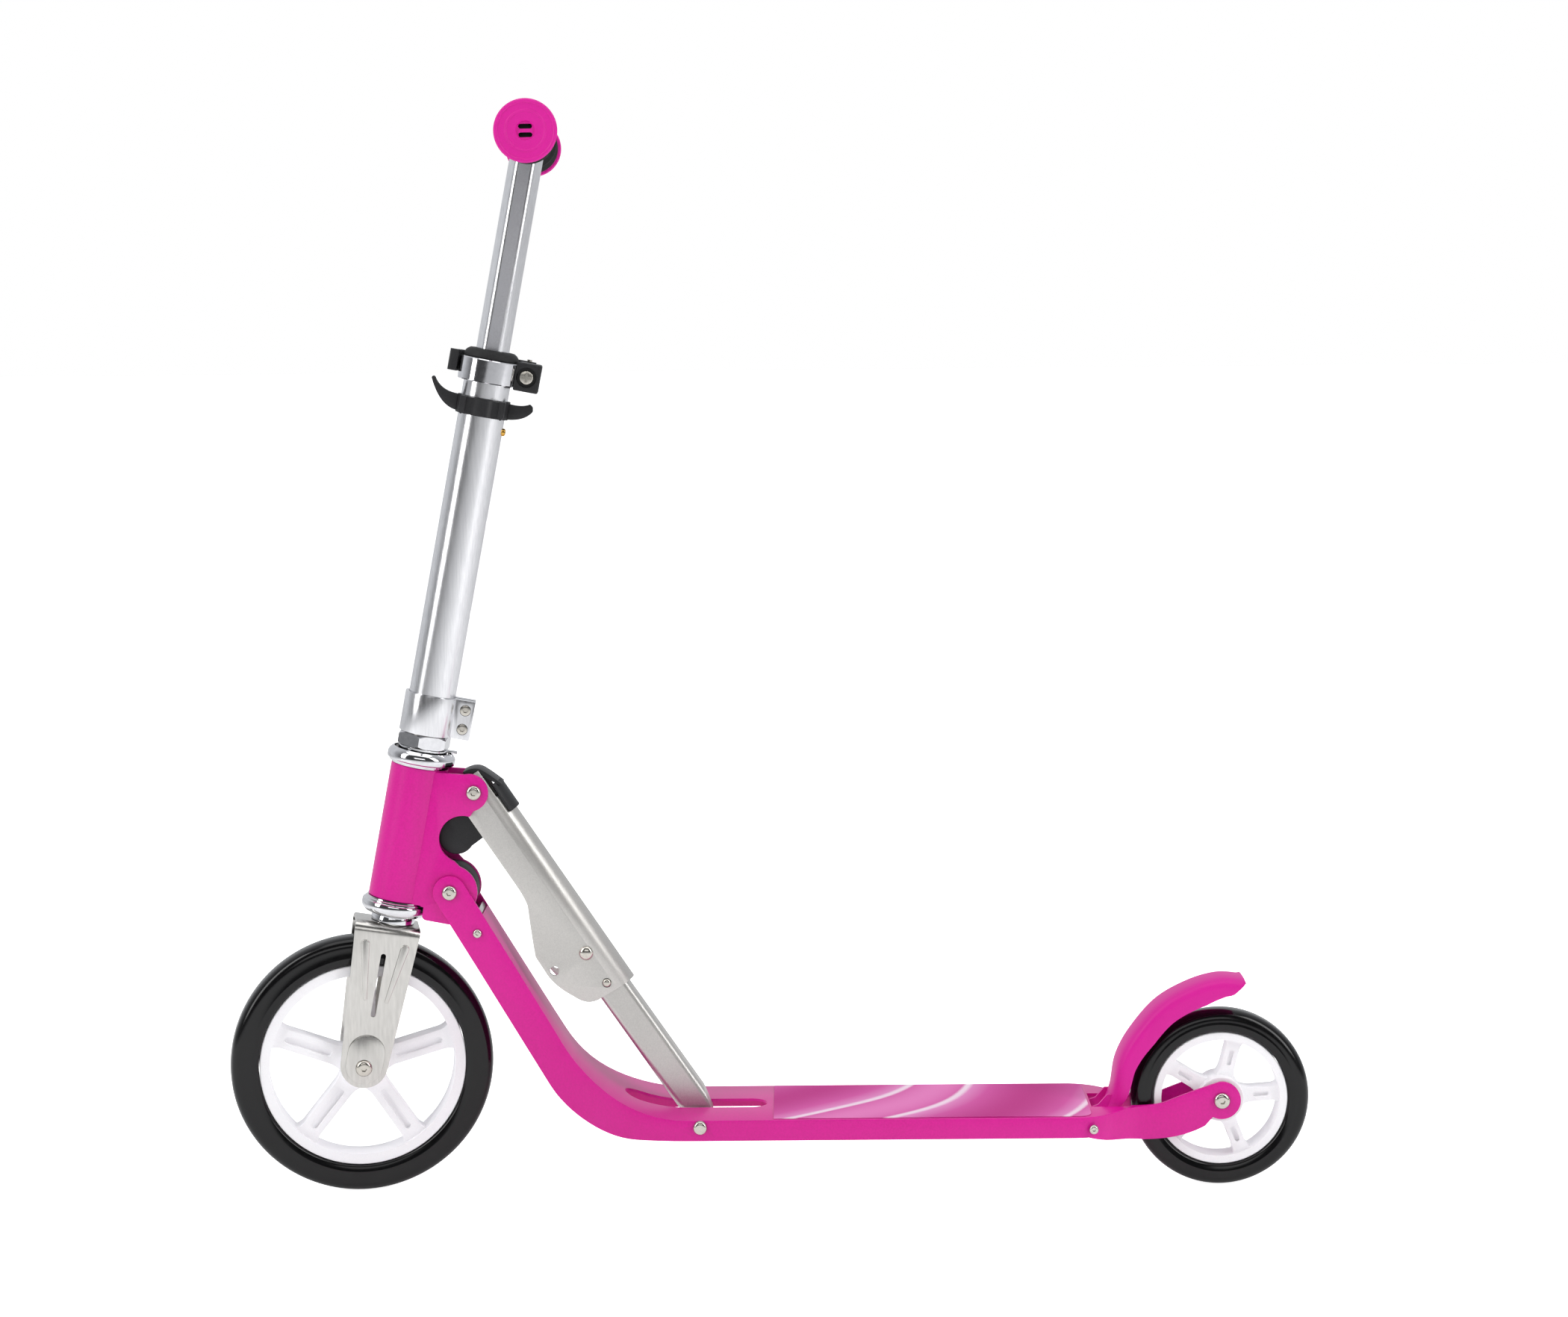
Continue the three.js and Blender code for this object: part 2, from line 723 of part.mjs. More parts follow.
const bandR = columnR + GAP + bandWall;
const clampX = columnR + 10.9;
const clampHeight = 551.2;
const blockHalfY = 12;
const blockLow = 540.2;
const blockHigh = 562.2;
const blockBack = columnR + 21.5;
columnGroup.add(
  mesh(
    "clamp_band",
    cut(
      pipe(columnR + GAP, bandR, bandBottom, bandTop, "z", fine),
      box(columnR - 3, bandR + 1, -1.6, 1.6, bandBottom - 1, bandTop + 1),
    ),
    "satin",
  ),
);
columnGroup.add(
  mesh(
    "clamp_block",
    cut(
      box(columnR, blockBack, -blockHalfY, blockHalfY, blockLow, blockHigh),
      rod(bandR + GAP, blockLow - 1, blockHigh + 1, "z", fine),
      rodAt(new THREE.Vector2(clampX, clampHeight), 2.6 + GAP, -13, 13, coarse),
      rodAt(new THREE.Vector2(clampX, clampHeight), 7.8, -13, -blockHalfY + 3.4, round),
    ),
    "black",
  ),
);
const clampPivotY = columnR + 0.3;
const clampHubR = 5.4;
columnGroup.add(
  mesh(
    "clamp_screw",
    joined(
      cut(
        rodAt(new THREE.Vector2(clampX, clampHeight), 5.2, -12.2, -9.2, coarse),
        box(clampX - 3, clampX + 3, -13, -11, clampHeight - 0.6, clampHeight + 0.6),
        box(clampX - 0.6, clampX + 0.6, -13, -11, clampHeight - 3, clampHeight + 3),
      ),
      rodAt(new THREE.Vector2(clampX, clampHeight), 2.6, -9.4, blockHalfY, coarse),
    ),
    "nickel",
  ),
);

// The cam lever: a hub on the clamp's far side and a band that wraps round the column to the front.
function clampLever() {
  const low = clampHeight - 4.6;
  const high = clampHeight + 11.6;
  const inner = bandR + 0.8;
  const outer = inner + 3.2;
  const wrap = new THREE.Shape();
  wrap.absarc(0, 0, outer, 38 * TURN, 176 * TURN, false);
  wrap.lineTo(-outer - 4.6, 1);
  wrap.lineTo(-outer - 4.6, -4);
  wrap.lineTo(-inner - 1, -4);
  wrap.absarc(0, 0, inner, 180 * TURN, 38 * TURN, true);
  wrap.closePath();
  const hub = rod(clampHubR, low, high, "z", coarse).translate(clampX, clampPivotY, 0);
  const neck = block(
    outline([
      [inner * Math.cos(50 * TURN), inner * Math.sin(50 * TURN) + 0.5],
      [clampX - 1, clampPivotY - 3],
      [clampX + 1, clampPivotY + clampHubR - 0.6],
      [outer * Math.cos(55 * TURN), outer * Math.sin(55 * TURN)],
    ]),
    low,
    high,
  );
  const pin = rod(2 + GAP, low - 1, high + 1, "z", coarse).translate(clampX, clampPivotY, 0);
  return cut(joined(block(wrap, low, high, 12), hub, neck), pin);
}
columnGroup.add(mesh("clamp_lever", clampLever(), "black"));
columnGroup.add(
  mesh(
    "clamp_pin",
    rod(2, clampHeight - 6, clampHeight + 13, "z", coarse).translate(clampX, clampPivotY, 0),
    "nickel",
  ),
);

// A six-sided bar along the steering axis with two corners fore and aft.
const hexRod = (cornerR, low, high) => rod(cornerR, low, high, "z", 6).rotate(0, 0, 30);

function columnBush() {
  const flange = turned(
    [
      [0, bandTop + GAP],
      [columnR + 2.4, bandTop + GAP],
      [columnR + 2.9, bandTop + 2.6],
      [columnR + 1.3, bushTop - 1.6],
      [columnR - 1.5, bushTop],
      [0, bushTop],
    ],
    "z",
    round,
  );
  const sleeve = rod(columnBore - GAP, bandBottom - 6, bandTop + 1, "z");
  return cut(joined(flange, sleeve), hexRod(hexCornerR + RUN, bandBottom - 9, bushTop + 1));
}
columnGroup.add(mesh("column_bush", columnBush(), "black"));

// ---------------------------------------------------------------- handlebar
const hexTube = cut(
  hexRod(hexCornerR, hexBottom, barHeight - crossbarR + 4),
  hexRod(hexCornerR - hexWall, hexBottom - 1, barHeight - crossbarR - 3),
  rod(crossbarR + GAP, -30, 30, "y").translate(0, 0, barHeight),
  snapHole(snapR + RUN, 0, hexCornerR + 1, snapHeight),
);
columnGroup.add(mesh("bar_stem", hexTube, "satin"));
const capInner = barLength / 2 - capThickness;
const crossbar = pipe(crossbarR - 2, crossbarR, -capInner + 2, capInner - 2, "y").translate(
  0,
  0,
  barHeight,
);
columnGroup.add(mesh("crossbar", crossbar, "satin"));
for (const [name, side] of [
  ["left", -1],
  ["right", 1],
]) {
  const near = capInner - gripLength;
  const grip = turned(
    [
      [crossbarR + GAP, near],
      [gripFlangeR, near],
      [gripFlangeR, near + 3],
      [gripR, near + 5],
      [gripR, capInner - 7],
      [gripFlangeR, capInner - 4],
      [gripFlangeR, capInner - GAP],
      [crossbarR + GAP, capInner - GAP],
    ],
    "y",
  );
  const placed = side < 0 ? grip.rotate(180, 0, 0) : grip;
  columnGroup.add(mesh(`grip_${name}`, placed.translate(0, 0, barHeight), "black"));
  const cap = joined(
    turned(
      [
        [0, capInner],
        [capR, capInner],
        [capR, capInner + capThickness - 1],
        [capR - 1, capInner + capThickness],
        [0, capInner + capThickness],
      ],
      "y",
    ),
    rod(crossbarR - 2 - GAP, capInner - 14, capInner + 1, "y", coarse),
  );
  const plug = side < 0 ? cap.rotate(180, 0, 0) : cap;
  columnGroup.add(mesh(`end_cap_${name}`, plug.translate(0, 0, barHeight), "pink"));
}
const snapButton = joined(
  snapHole(snapR, hexCornerR + GAP, columnR + 1.4, snapHeight),
  snapHole(snapR * 0.6, columnR + 1.2, columnR + 2.4, snapHeight),
);
columnGroup.add(mesh("height_button", snapButton, "brass"));

// ---------------------------------------------------------------- head bracket
function headBracket() {
  const tube = onHead(rod(headTubeR, headBottom, headTop, "z", fine));
  const inside = onHead(rod(headTubeR - headTubeWall, headBottom - 5, headTop + 5, "z", fine));
  const plate = new THREE.Shape();
  const topFront = headAxis(4, headTop - 2.5);
  const bottomFront = headAxis(4, headBottom - 1);
  plate.moveTo(...topFront);
  const lobeX = strutTop.x - topLobeShift;
  plate.lineTo(lobeX - 3, strutTop.y + topLobeR - 0.4);
  plate.absarc(lobeX, strutTop.y, topLobeR, 100 * TURN, -78 * TURN, true);
  plate.absarc(notch.x, notch.y, notchR, 72 * TURN, 248 * TURN, false);
  plate.absarc(armPivot.x, armPivot.y, lobeR, 68 * TURN, -62 * TURN, true);
  plate.lineTo(armPivot.x - 1, armPivot.y - 25.8);
  plate.lineTo(armPivot.x - 19.4, armPivot.y - 22.2);
  plate.quadraticCurveTo(armPivot.x - 23.2, armPivot.y - 21, ...headAxis(23.4, headBottom - 5.5));
  plate.lineTo(...headAxis(23.2, headBottom - 1));
  plate.lineTo(...bottomFront);
  plate.closePath();
  const plates = both((side) =>
    side < 0
      ? slab(plate, -plateY, -plateY + plateSheet)
      : slab(plate, plateY - plateSheet, plateY),
  );
  return cut(
    joined(tube, plates),
    inside,
    rodAt(armPivot, pivotBoltR + RUN, -30, 30, coarse),
    rodAt(strutTop, pivotBoltR + GAP, -30, 30, coarse),
    onHead(rod(cupR + 1, headBottom - 30, headBottom - GAP, "z", fine)),
  );
}
scooter.add(mesh("head_bracket", headBracket(), "pink"));

// Rubber liner between the bracket's plates, round the arm pivot.
const liner = cut(
  rodAt(armPivot, lobeR - 1, -plateY + plateSheet + GAP, plateY - plateSheet - GAP, round),
  rodAt(armPivot, pivotBoltR + RUN, -30, 30, coarse),
  onHead(rod(headTubeR + GAP, headBottom - 5, headTop, "z", fine)),
);
scooter.add(mesh("bracket_liner", liner, "black"));
scooter.add(
  mesh(
    "strut_top_bolt",
    crossBolt(strutTop, pivotBoltR, pivotHeadR, plateY + GAP),
    "nickel",
  ),
);
scooter.add(
  mesh("fold_bolt", crossBolt(armPivot, pivotBoltR, pivotHeadR, armY + GAP), "nickel"),
);

// ---------------------------------------------------------------- strut
function strutChannel() {
  const cheek = new THREE.Shape();
  const end = upperLink + channelTail;
  const at = (u, v) => onChannel(u, v);
  const back = -channelBackCentre - channelY;
  cheek.moveTo(...at(-12, back));
  cheek.lineTo(...at(end + 1.5, back));
  cheek.lineTo(...at(end, cheekFront - 2));
  cheek.quadraticCurveTo(...at(end - 1, 23), ...at(end - 13, cheekSwell - 7));
  cheek.quadraticCurveTo(...at(end - 26, cheekSwell), ...at(upperLink - 2, cheekSwell + 0.4));
  cheek.lineTo(...at(upperLink - 19.5, cheekSwell));
  cheek.quadraticCurveTo(...at(upperLink - 38, 26), ...at(upperLink - 56, cheekFront + 2));
  cheek.quadraticCurveTo(...at(upperLink - 63, cheekFront), ...at(upperLink - 74, cheekFront));
  cheek.lineTo(...at(10, cheekFront));
  cheek.quadraticCurveTo(...at(-6, 14), ...at(-12, 4));
  cheek.closePath();
  const section = new THREE.Shape();
  const reach = cheekSwell + 4;
  const inner = channelY - channelSheet;
  section.moveTo(reach, channelY);
  section.absarc(-channelBackCentre, 0, channelY, Math.PI / 2, (3 * Math.PI) / 2, false);
  section.lineTo(reach, -channelY);
  section.lineTo(reach, -inner);
  section.absarc(-channelBackCentre, 0, inner, (3 * Math.PI) / 2, Math.PI / 2, true);
  section.lineTo(reach, inner);
  section.closePath();
  const profile = block(section, -20, end + 9, 10)
    .rotate(0, 90, 0)
    .rotate(0, -channelAngle / TURN, 0)
    .translate(strutTop.x, 0, strutTop.y);
  const opened = slab(
    outline([at(-30, -40), at(13, -40), at(13, -6), at(4, 0), at(-2, 0), at(-30, -8)]),
    -channelY + channelSheet,
    channelY - channelSheet,
  );
  const topCut = slab(outline([at(-30, -40), at(9, -40), at(-30, 12)]), -20, 20);
  const button = new THREE.Vector2(...at(upperLink + kneeButtonReach, 0));
  const second = button.clone().rotateAround(knee, -kneeBend);
  return cut(
    profile.intersect(slab(cheek, -20, 20, 6)),
    opened,
    topCut,
    rodAt(strutTop, pivotBoltR + RUN, -30, 30, coarse),
    rodAt(knee, 3 + GAP, -30, 30, coarse),
    rodAt(button, kneeButtonR + RUN, -30, 30, coarse),
    rodAt(second, kneeButtonR + RUN, -30, 30, coarse),
  );
}
scooter.add(mesh("strut_channel", strutChannel(), "satin"));

const kneeButtonAt = new THREE.Vector2(...onChannel(upperLink + kneeButtonReach, 0));
for (const [name, side] of [
  ["left", -1],
  ["right", 1],
]) {
  const out = channelY + GAP;
  const inward = tubeY + GAP;
  const rivet = joined(
    rod(3, inward, out + 0.4, "y", coarse),
    turned(
      [
        [0, out],
        [kneeRivetR, out],
        [kneeRivetR * 0.8, out + 1.7],
        [kneeRivetR * 0.4, out + 2.7],
        [0, out + 2.9],
      ],
      "y",
      coarse,
    ),
  );
  const button = joined(
    rod(kneeButtonR, inward, channelY + 0.6, "y", coarse),
    rod(kneeButtonR * 0.6, channelY + 0.4, channelY + 1.9, "y", coarse),
    rod(kneeButtonR + 1.2, inward, channelY - channelSheet - RUN, "y", coarse),
  );
  const place = (body, at) => (side < 0 ? body.rotate(180, 0, 0) : body).translate(at.x, 0, at.y);
  scooter.add(mesh(`knee_rivet_${name}`, place(rivet, knee), "nickel"));
  scooter.add(mesh(`knee_button_${name}`, place(button, kneeButtonAt), "nickel"));
}

// The lower half of the strut: a closed tube with a narrow foot that stands in the deck's slot.
function strutTube() {
  const step = new THREE.Vector2(Math.cos(tubeAngle), Math.sin(tubeAngle));
  const across = new THREE.Vector2(Math.sin(tubeAngle), -Math.cos(tubeAngle));
  const at = (u, v) => [knee.x + step.x * u + across.x * v, knee.y + step.y * u + across.y * v];
  const side = new THREE.Shape();
  side.absarc(knee.x, knee.y, tubeEndR, tubeAngle + Math.PI / 2, tubeAngle - Math.PI / 2, false);
  side.lineTo(...at(13, tubeHalfDepth));
  side.lineTo(...at(lowerLink - 16, tubeHalfDepth));
  side.absarc(strutFoot.x, strutFoot.y, tubeFootR, tubeAngle - Math.PI / 2, tubeAngle + Math.PI / 2, false);
  side.lineTo(...at(lowerLink - 16, -tubeHalfDepth));
  side.lineTo(...at(13, -tubeHalfDepth));
  side.closePath();
  const section = new THREE.Shape();
  const flatV = tubeHalfDepth - tubeCornerR;
  const flatY = tubeY - tubeCornerR;
  section.absarc(flatV, flatY, tubeCornerR, 0, Math.PI / 2, false);
  section.absarc(-flatV, flatY, tubeCornerR, Math.PI / 2, Math.PI, false);
  section.absarc(-flatV, -flatY, tubeCornerR, Math.PI, Math.PI * 1.5, false);
  section.absarc(flatV, -flatY, tubeCornerR, Math.PI * 1.5, Math.PI * 2, false);
  section.closePath();
  const profile = block(section, -20, lowerLink + 20, 4)
    .rotate(0, 90, 0)
    .rotate(0, -tubeAngle / TURN, 0)
    .translate(knee.x, 0, knee.y);
  const body = profile.intersect(slab(side, -20, 20, 10));
  const hollow = slab(
    outline([
      at(14, tubeHalfDepth - 2),
      at(lowerLink - 18, tubeHalfDepth - 2),
      at(lowerLink + 20, 4),
      at(lowerLink + 20, -4),
      at(lowerLink - 18, -tubeHalfDepth + 2),
      at(14, -tubeHalfDepth + 2),
    ]),
    -tubeY + 2,
    tubeY - 2,
  );
  return cut(
    body,
    hollow,
    rodAt(strutFoot, footBoltR + RUN, -30, 30, coarse),
    rodAt(kneeButtonAt, kneeButtonR + 2, -30, 30, coarse),
  );
}
scooter.add(mesh("strut_tube", strutTube(), "satin"));
scooter.add(
  mesh(
    "strut_foot_bolt",
    crossBolt(strutFoot, footBoltR, footHeadR, deckWidth / 2 + GAP),
    "nickel",
  ),
);

// The release lever turns on the strut's top bolt: a round nose in the bracket's notch, and a
// saddle-shaped tab that lies on the channel's back.
function releaseLever() {
  const at = (u, v) => onChannel(u, v);
  const inner = channelY - channelSheet - 0.9;
  const noseAt = new THREE.Vector2(...at(21, 31.5));
  const nose = rodAt(noseAt, 14, -inner, inner, round);
  const body = slab(
    outline([
      at(-9, -2),
      at(-6, 8),
      at(8, 12),
      at(7.6, 30),
      at(34, 30),
      at(33, 8),
      at(14, 2),
      at(9, -6),
    ]),
    -inner,
    inner,
  );
  const neck = slab(
    outline([
      at(-8.6, -1),
      at(-17.6, -1),
      at(-16.4, -7.4),
      at(-10.6, -14.4),
      at(4, -19.6),
      at(7, -21),
      at(7, -19.2),
      at(-2, -14),
      at(-6, -8),
    ]),
    -inner,
    inner,
  );
  const tab = new THREE.Shape();
  const low = channelY + 0.5;
  const high = channelY + 3;
  tab.absarc(-channelBackCentre, 0, high, (180 - 52) * TURN, (180 + 52) * TURN, false);
  tab.absarc(-channelBackCentre, 0, low, (180 + 52) * TURN, (180 - 52) * TURN, true);
  tab.closePath();
  const saddle = block(tab, 3, 28.4, 8)
    .rotate(0, 90, 0)
    .rotate(0, -channelAngle / TURN, 0)
    .translate(strutTop.x, 0, strutTop.y);
  return cut(
    joined(nose, body, neck, saddle),
    rodAt(strutTop, pivotBoltR + RUN, -30, 30, coarse),
  );
}
scooter.add(mesh("release_lever", releaseLever(), "black"));

// ---------------------------------------------------------------- deck
const armDown = new THREE.Vector2(Math.cos(armAngle), -Math.sin(armAngle));
const armUp = new THREE.Vector2(Math.sin(armAngle), Math.cos(armAngle));
const onArm = (s, n) => [
  armPivot.x + armDown.x * s + armUp.x * n,
  armPivot.y + armDown.y * s + armUp.y * n,
];
// Where a line down the arm, n off its middle, reaches a height.
const armMeets = (n, z) => {
  const [x, top] = onArm(0, n);
  return x + ((top - z) / Math.sin(armAngle)) * Math.cos(armAngle);
};

// The deck's side view, drawn in from its outer face by `inset` where the sheet's inside is wanted.
function deckSide(inset) {
  const n = armHalf - inset;
  const top = deckTop - inset;
  const topBend = armTopBend + inset;
  const bottomBend = armBottomBend;
  const half = armAngle / 2;
  const corner = armMeets(n, top);
  const reach = topBend * Math.tan(half);
  const shape = new THREE.Shape();
  shape.absarc(
    armPivot.x,
    armPivot.y,
    n,
    Math.PI / 2 - armAngle,
    Math.PI * 1.5 - armAngle,
    false,
  );
  const low = inset ? deckBottom - 40 : deckBottom;
  const lowCorner = armMeets(-armHalf, low);
  const lowReach = bottomBend * Math.tan(half);
  shape.absarc(
    lowCorner + lowReach,
    low + bottomBend,
    bottomBend,
    Math.PI * 1.5 - armAngle,
    Math.PI * 1.5,
    false,
  );
  if (inset) {
    shape.lineTo(wheelbase + 60, low);
    shape.lineTo(wheelbase + 60, top);
  } else {
    shape.lineTo(wheelbase - 107, deckBottom);
    shape.quadraticCurveTo(wheelbase - 83, 43, wheelbase - 61, 40);
    shape.quadraticCurveTo(wheelbase - 33, 39, wheelbase - 13, 50);
    shape.absarc(wheelbase, rearWheelR, earEndR, -118 * TURN, 96 * TURN, false);
    shape.quadraticCurveTo(wheelbase - 23, 78, wheelbase - 45, 69);
    shape.quadraticCurveTo(wheelbase - 53, deckTop, wheelbase - 67, deckTop);
  }
  shape.absarc(
    corner + reach,
    top + topBend,
    topBend,
    Math.PI * 1.5,
    Math.PI * 1.5 - armAngle,
    true,
  );
  shape.closePath();
  return shape;
}

// Half of the plan outline's width at x: the arm, the taper into the deck, the deck, the ears.
function deckPlan(inset) {
  const half = deckWidth / 2 - inset;
  const arm = armY - inset;
  const ear = legOuter - inset;
  const wide = armY + 3 - inset;
  const shape = new THREE.Shape();
  shape.moveTo(40, -arm);
  shape.lineTo(armPivot.x + 20, -arm);
  shape.lineTo(150, -wide);
  shape.bezierCurveTo(192, -wide - 4, 196, -half, 262, -half);
  const taper = [wheelbase - 117, wheelbase - 83, wheelbase - 85, wheelbase - 51];
  shape.lineTo(taper[0], -half);
  shape.bezierCurveTo(taper[1], -half, taper[2], -ear, taper[3], -ear);
  shape.lineTo(wheelbase + 40, -ear);
  shape.lineTo(wheelbase + 40, ear);
  shape.lineTo(taper[3], ear);
  shape.bezierCurveTo(taper[2], ear, taper[1], half, taper[0], half);
  shape.lineTo(262, half);
  shape.bezierCurveTo(196, half, 192, wide + 4, 150, wide);
  shape.lineTo(armPivot.x + 20, arm);
  shape.lineTo(40, arm);
  shape.closePath();
  return shape;
}

function deck() {
  const half = deckWidth / 2;
  const outer = slab(deckSide(0), -half - 1, half + 1, 10).intersect(
    block(deckPlan(0), 0, 300, 10),
  );
  const inner = slab(deckSide(deckSheet), -half - 1, half + 1, 10).intersect(
    block(deckPlan(deckSheet), 0, 300, 10),
  );
  const slotEnd = slotHalf;
  const slot = new THREE.Shape();
  slot.absarc(slotFrontX + slotEnd, 0, slotHalf, Math.PI / 2, (3 * Math.PI) / 2, false);
  slot.absarc(slotRearX - slotEnd, 0, slotHalf, -Math.PI / 2, Math.PI / 2, false);
  const armInner = armY - deckSheet;
  const webOpen = slab(
    outline([onArm(-30, -40), onArm(armWebStart, -40), onArm(armWebStart, 40), onArm(-30, 40)]),
    -armInner,
    armInner,
  );
  const earInner = legOuter - legSheet;
  return cut(
    outer,
    inner,
    block(slot, 40, 110, 8),
    webOpen,
    box(notchFrontX, notchRearX, -notchHalf, notchHalf, deckTop - 10, deckTop + 9),
    box(deckRearX, wheelbase + 60, -earInner, earInner, 20, 120),
    rodAt(armPivot, pivotBoltR + GAP, -40, 40, coarse),
    rodAt(strutFoot, footBoltR + GAP, -60, 60, coarse),
    rodAt(brakePivot, brakePinR + GAP, -60, 60, coarse),
    rodAt(new THREE.Vector2(...onArm(38.4, 1.6)), 2.2 + GAP, -40, 40, coarse),
    rodAt(new THREE.Vector2(wheelbase, rearWheelR), axleR + GAP, -40, 40, coarse),
  );
}
scooter.add(mesh("deck", deck(), "pink"));

// Printed grip sheet on the walking surface, behind the strut's slot.
const tape = new THREE.Shape();
const tapeHalf = deckWidth / 2 - 3;
tape.moveTo(slotRearX + 5, -tapeHalf);
tape.lineTo(notchFrontX - 14, -tapeHalf);
tape.quadraticCurveTo(notchFrontX - 4, -tapeHalf, notchFrontX - 4, -tapeHalf + 12);
tape.lineTo(notchFrontX - 4, tapeHalf - 12);
tape.quadraticCurveTo(notchFrontX - 4, tapeHalf, notchFrontX - 14, tapeHalf);
tape.lineTo(slotRearX + 5, tapeHalf);
tape.closePath();
scooter.add(
  mesh("grip_tape", block(tape, deckTop + GAP / 3, deckTop + gripTape, 4), "print"),
);

// Cross rivet and stop between the arm's cheeks.
scooter.add(
  mesh(
    "arm_rivet",
    crossBolt(new THREE.Vector2(...onArm(38.4, 1.6)), 2.2, 3.6, armY + GAP),
    "nickel",
  ),
);
const stopIn = armY - deckSheet - GAP;
scooter.add(
  mesh(
    "fold_stop",
    slab(
      outline([
        onArm(lobeR + 1.6, -4),
        onArm(armWebStart - GAP, -4),
        onArm(armWebStart - GAP, armHalf - 1),
        onArm(lobeR + 1.6, armHalf - 1),
      ]),
      -stopIn,
      stopIn,
    ),
    "stamped",
  ),
);

// ---------------------------------------------------------------- brake
// The fender is one curved shell; each section is a rounded hood with turned-down sides.
function brakeFender() {
  const spine = new THREE.SplineCurve([
    new THREE.Vector2(wheelbase - 92, 62),
    new THREE.Vector2(wheelbase - 85.6, 78),
    new THREE.Vector2(wheelbase - 81.4, 100.8),
    new THREE.Vector2(wheelbase - 70.4, 122),
    new THREE.Vector2(wheelbase - 49.8, 145.9),
    new THREE.Vector2(wheelbase - 24.1, 160.6),
    new THREE.Vector2(wheelbase - 1, 167),
    new THREE.Vector2(wheelbase + 17.6, 165.6),
  ]);
  const depthAt = (t) =>
    t < 0.12 ? 6 + 55 * t : t < 0.45 ? 12.6 + 16 * (t - 0.12) : 17.9 - 25 * Math.max(0, t - 0.75);
  const halfAt = (t) => (t < 0.2 ? 14 + (fenderHalf - 14) * (t / 0.2) : fenderHalf);
  const steps = 16;
  const arcSteps = 6;
  const rings = [];
  for (let i = 0; i <= steps; i += 1) {
    const t = i / steps;
    const point = spine.getPoint(t);
    const slope = spine.getTangent(t);
    const inwardX = slope.y;
    const inwardZ = -slope.x;
    const half = halfAt(t);
    const depth = depthAt(t);
    const crown = Math.min(8, depth - 1);
    const hood = (wall) => {
      const line = [];
      const w = half - wall;
      line.push([-w, depth]);
      for (let k = 0; k <= arcSteps; k += 1) {
        const a = (Math.PI * k) / arcSteps;
        const flat = Math.sign(Math.cos(a)) * Math.abs(Math.cos(a)) ** 0.7;
        line.push([-w * flat, wall + (crown - wall) * (1 - Math.sin(a) ** 0.7)]);
      }
      line.push([w, depth]);
      return line;
    };
    const loop = [...hood(0), ...hood(fenderSheet).reverse()];
    rings.push(
      loop.map(([y, down]) => [point.x + inwardX * down, y, point.y + inwardZ * down]),
    );
  }
  return loft(rings);
}

// A closed solid through rings of equal point counts, with flat ends.
function loft(rings) {
  const count = rings[0].length;
  const positions = [];
  const put = (...points) => points.forEach((p) => positions.push(...p));
  for (let i = 0; i + 1 < rings.length; i += 1) {
    for (let k = 0; k < count; k += 1) {
      const next = (k + 1) % count;
      const [a, b, c, d] = [rings[i][k], rings[i][next], rings[i + 1][next], rings[i + 1][k]];
      put(a, b, c, a, c, d);
    }
  }
  // Each end is a strip between the two halves of the ring.
  const ends = [
    [rings[0], true],
    [rings[rings.length - 1], false],
  ];
  for (const [ring, first] of ends) {
    for (let k = 0; k + 1 < count / 2; k += 1) {
      const [a, b, c, d] = [ring[k], ring[k + 1], ring[count - 2 - k], ring[count - 1 - k]];
      if (first) put(a, c, b, a, d, c);
      else put(a, b, c, a, c, d);
    }
  }
  const geometry = new THREE.BufferGeometry();
  geometry.setAttribute("position", new THREE.Float32BufferAttribute(positions, 3));
  return outward(solid(geometry));
}

const brakeArm = outline([
  [brakePivot.x - 6, brakePivot.y - 5],
  [brakePivot.x + 7, brakePivot.y - 5],
  [wheelbase - 83, 66],
  [wheelbase - 79, 74],
  [wheelbase - 89, 74],
  [wheelbase - 96, 66],
  [brakePivot.x - 6, brakePivot.y + 4],
]);
const armHalfY = 13;
const fender = cut(
  joined(brakeFender(), slab(brakeArm, -armHalfY, -armHalfY + 3), slab(brakeArm, armHalfY - 3, armHalfY)),
  rodAt(brakePivot, brakePinR + RUN, -30, 30, coarse),
);
scooter.add(mesh("brake_fender", fender, "pink"));
scooter.add(
  mesh(
    "brake_pin",
    crossBolt(brakePivot, brakePinR, 3.8, deckWidth / 2 + GAP),
    "nickel",
  ),
);
// Torsion spring: a coil round the brake pin, drawn as its sleeve with one leg under the deck.
const springR = 4.4;
scooter.add(
  mesh(
    "brake_spring",
    joined(
      pipe(brakePinR + RUN, springR, -armHalfY + 3.6, armHalfY - 3.6, "y", coarse).translate(
        brakePivot.x,
        0,
        brakePivot.y,
      ),
      box(
        brakePivot.x - 24,
        brakePivot.x - 2,
        -2,
        0,
        brakePivot.y + springR - 1.4,
        brakePivot.y + springR,
      ),
    ),
    "stamped",
  ),
);

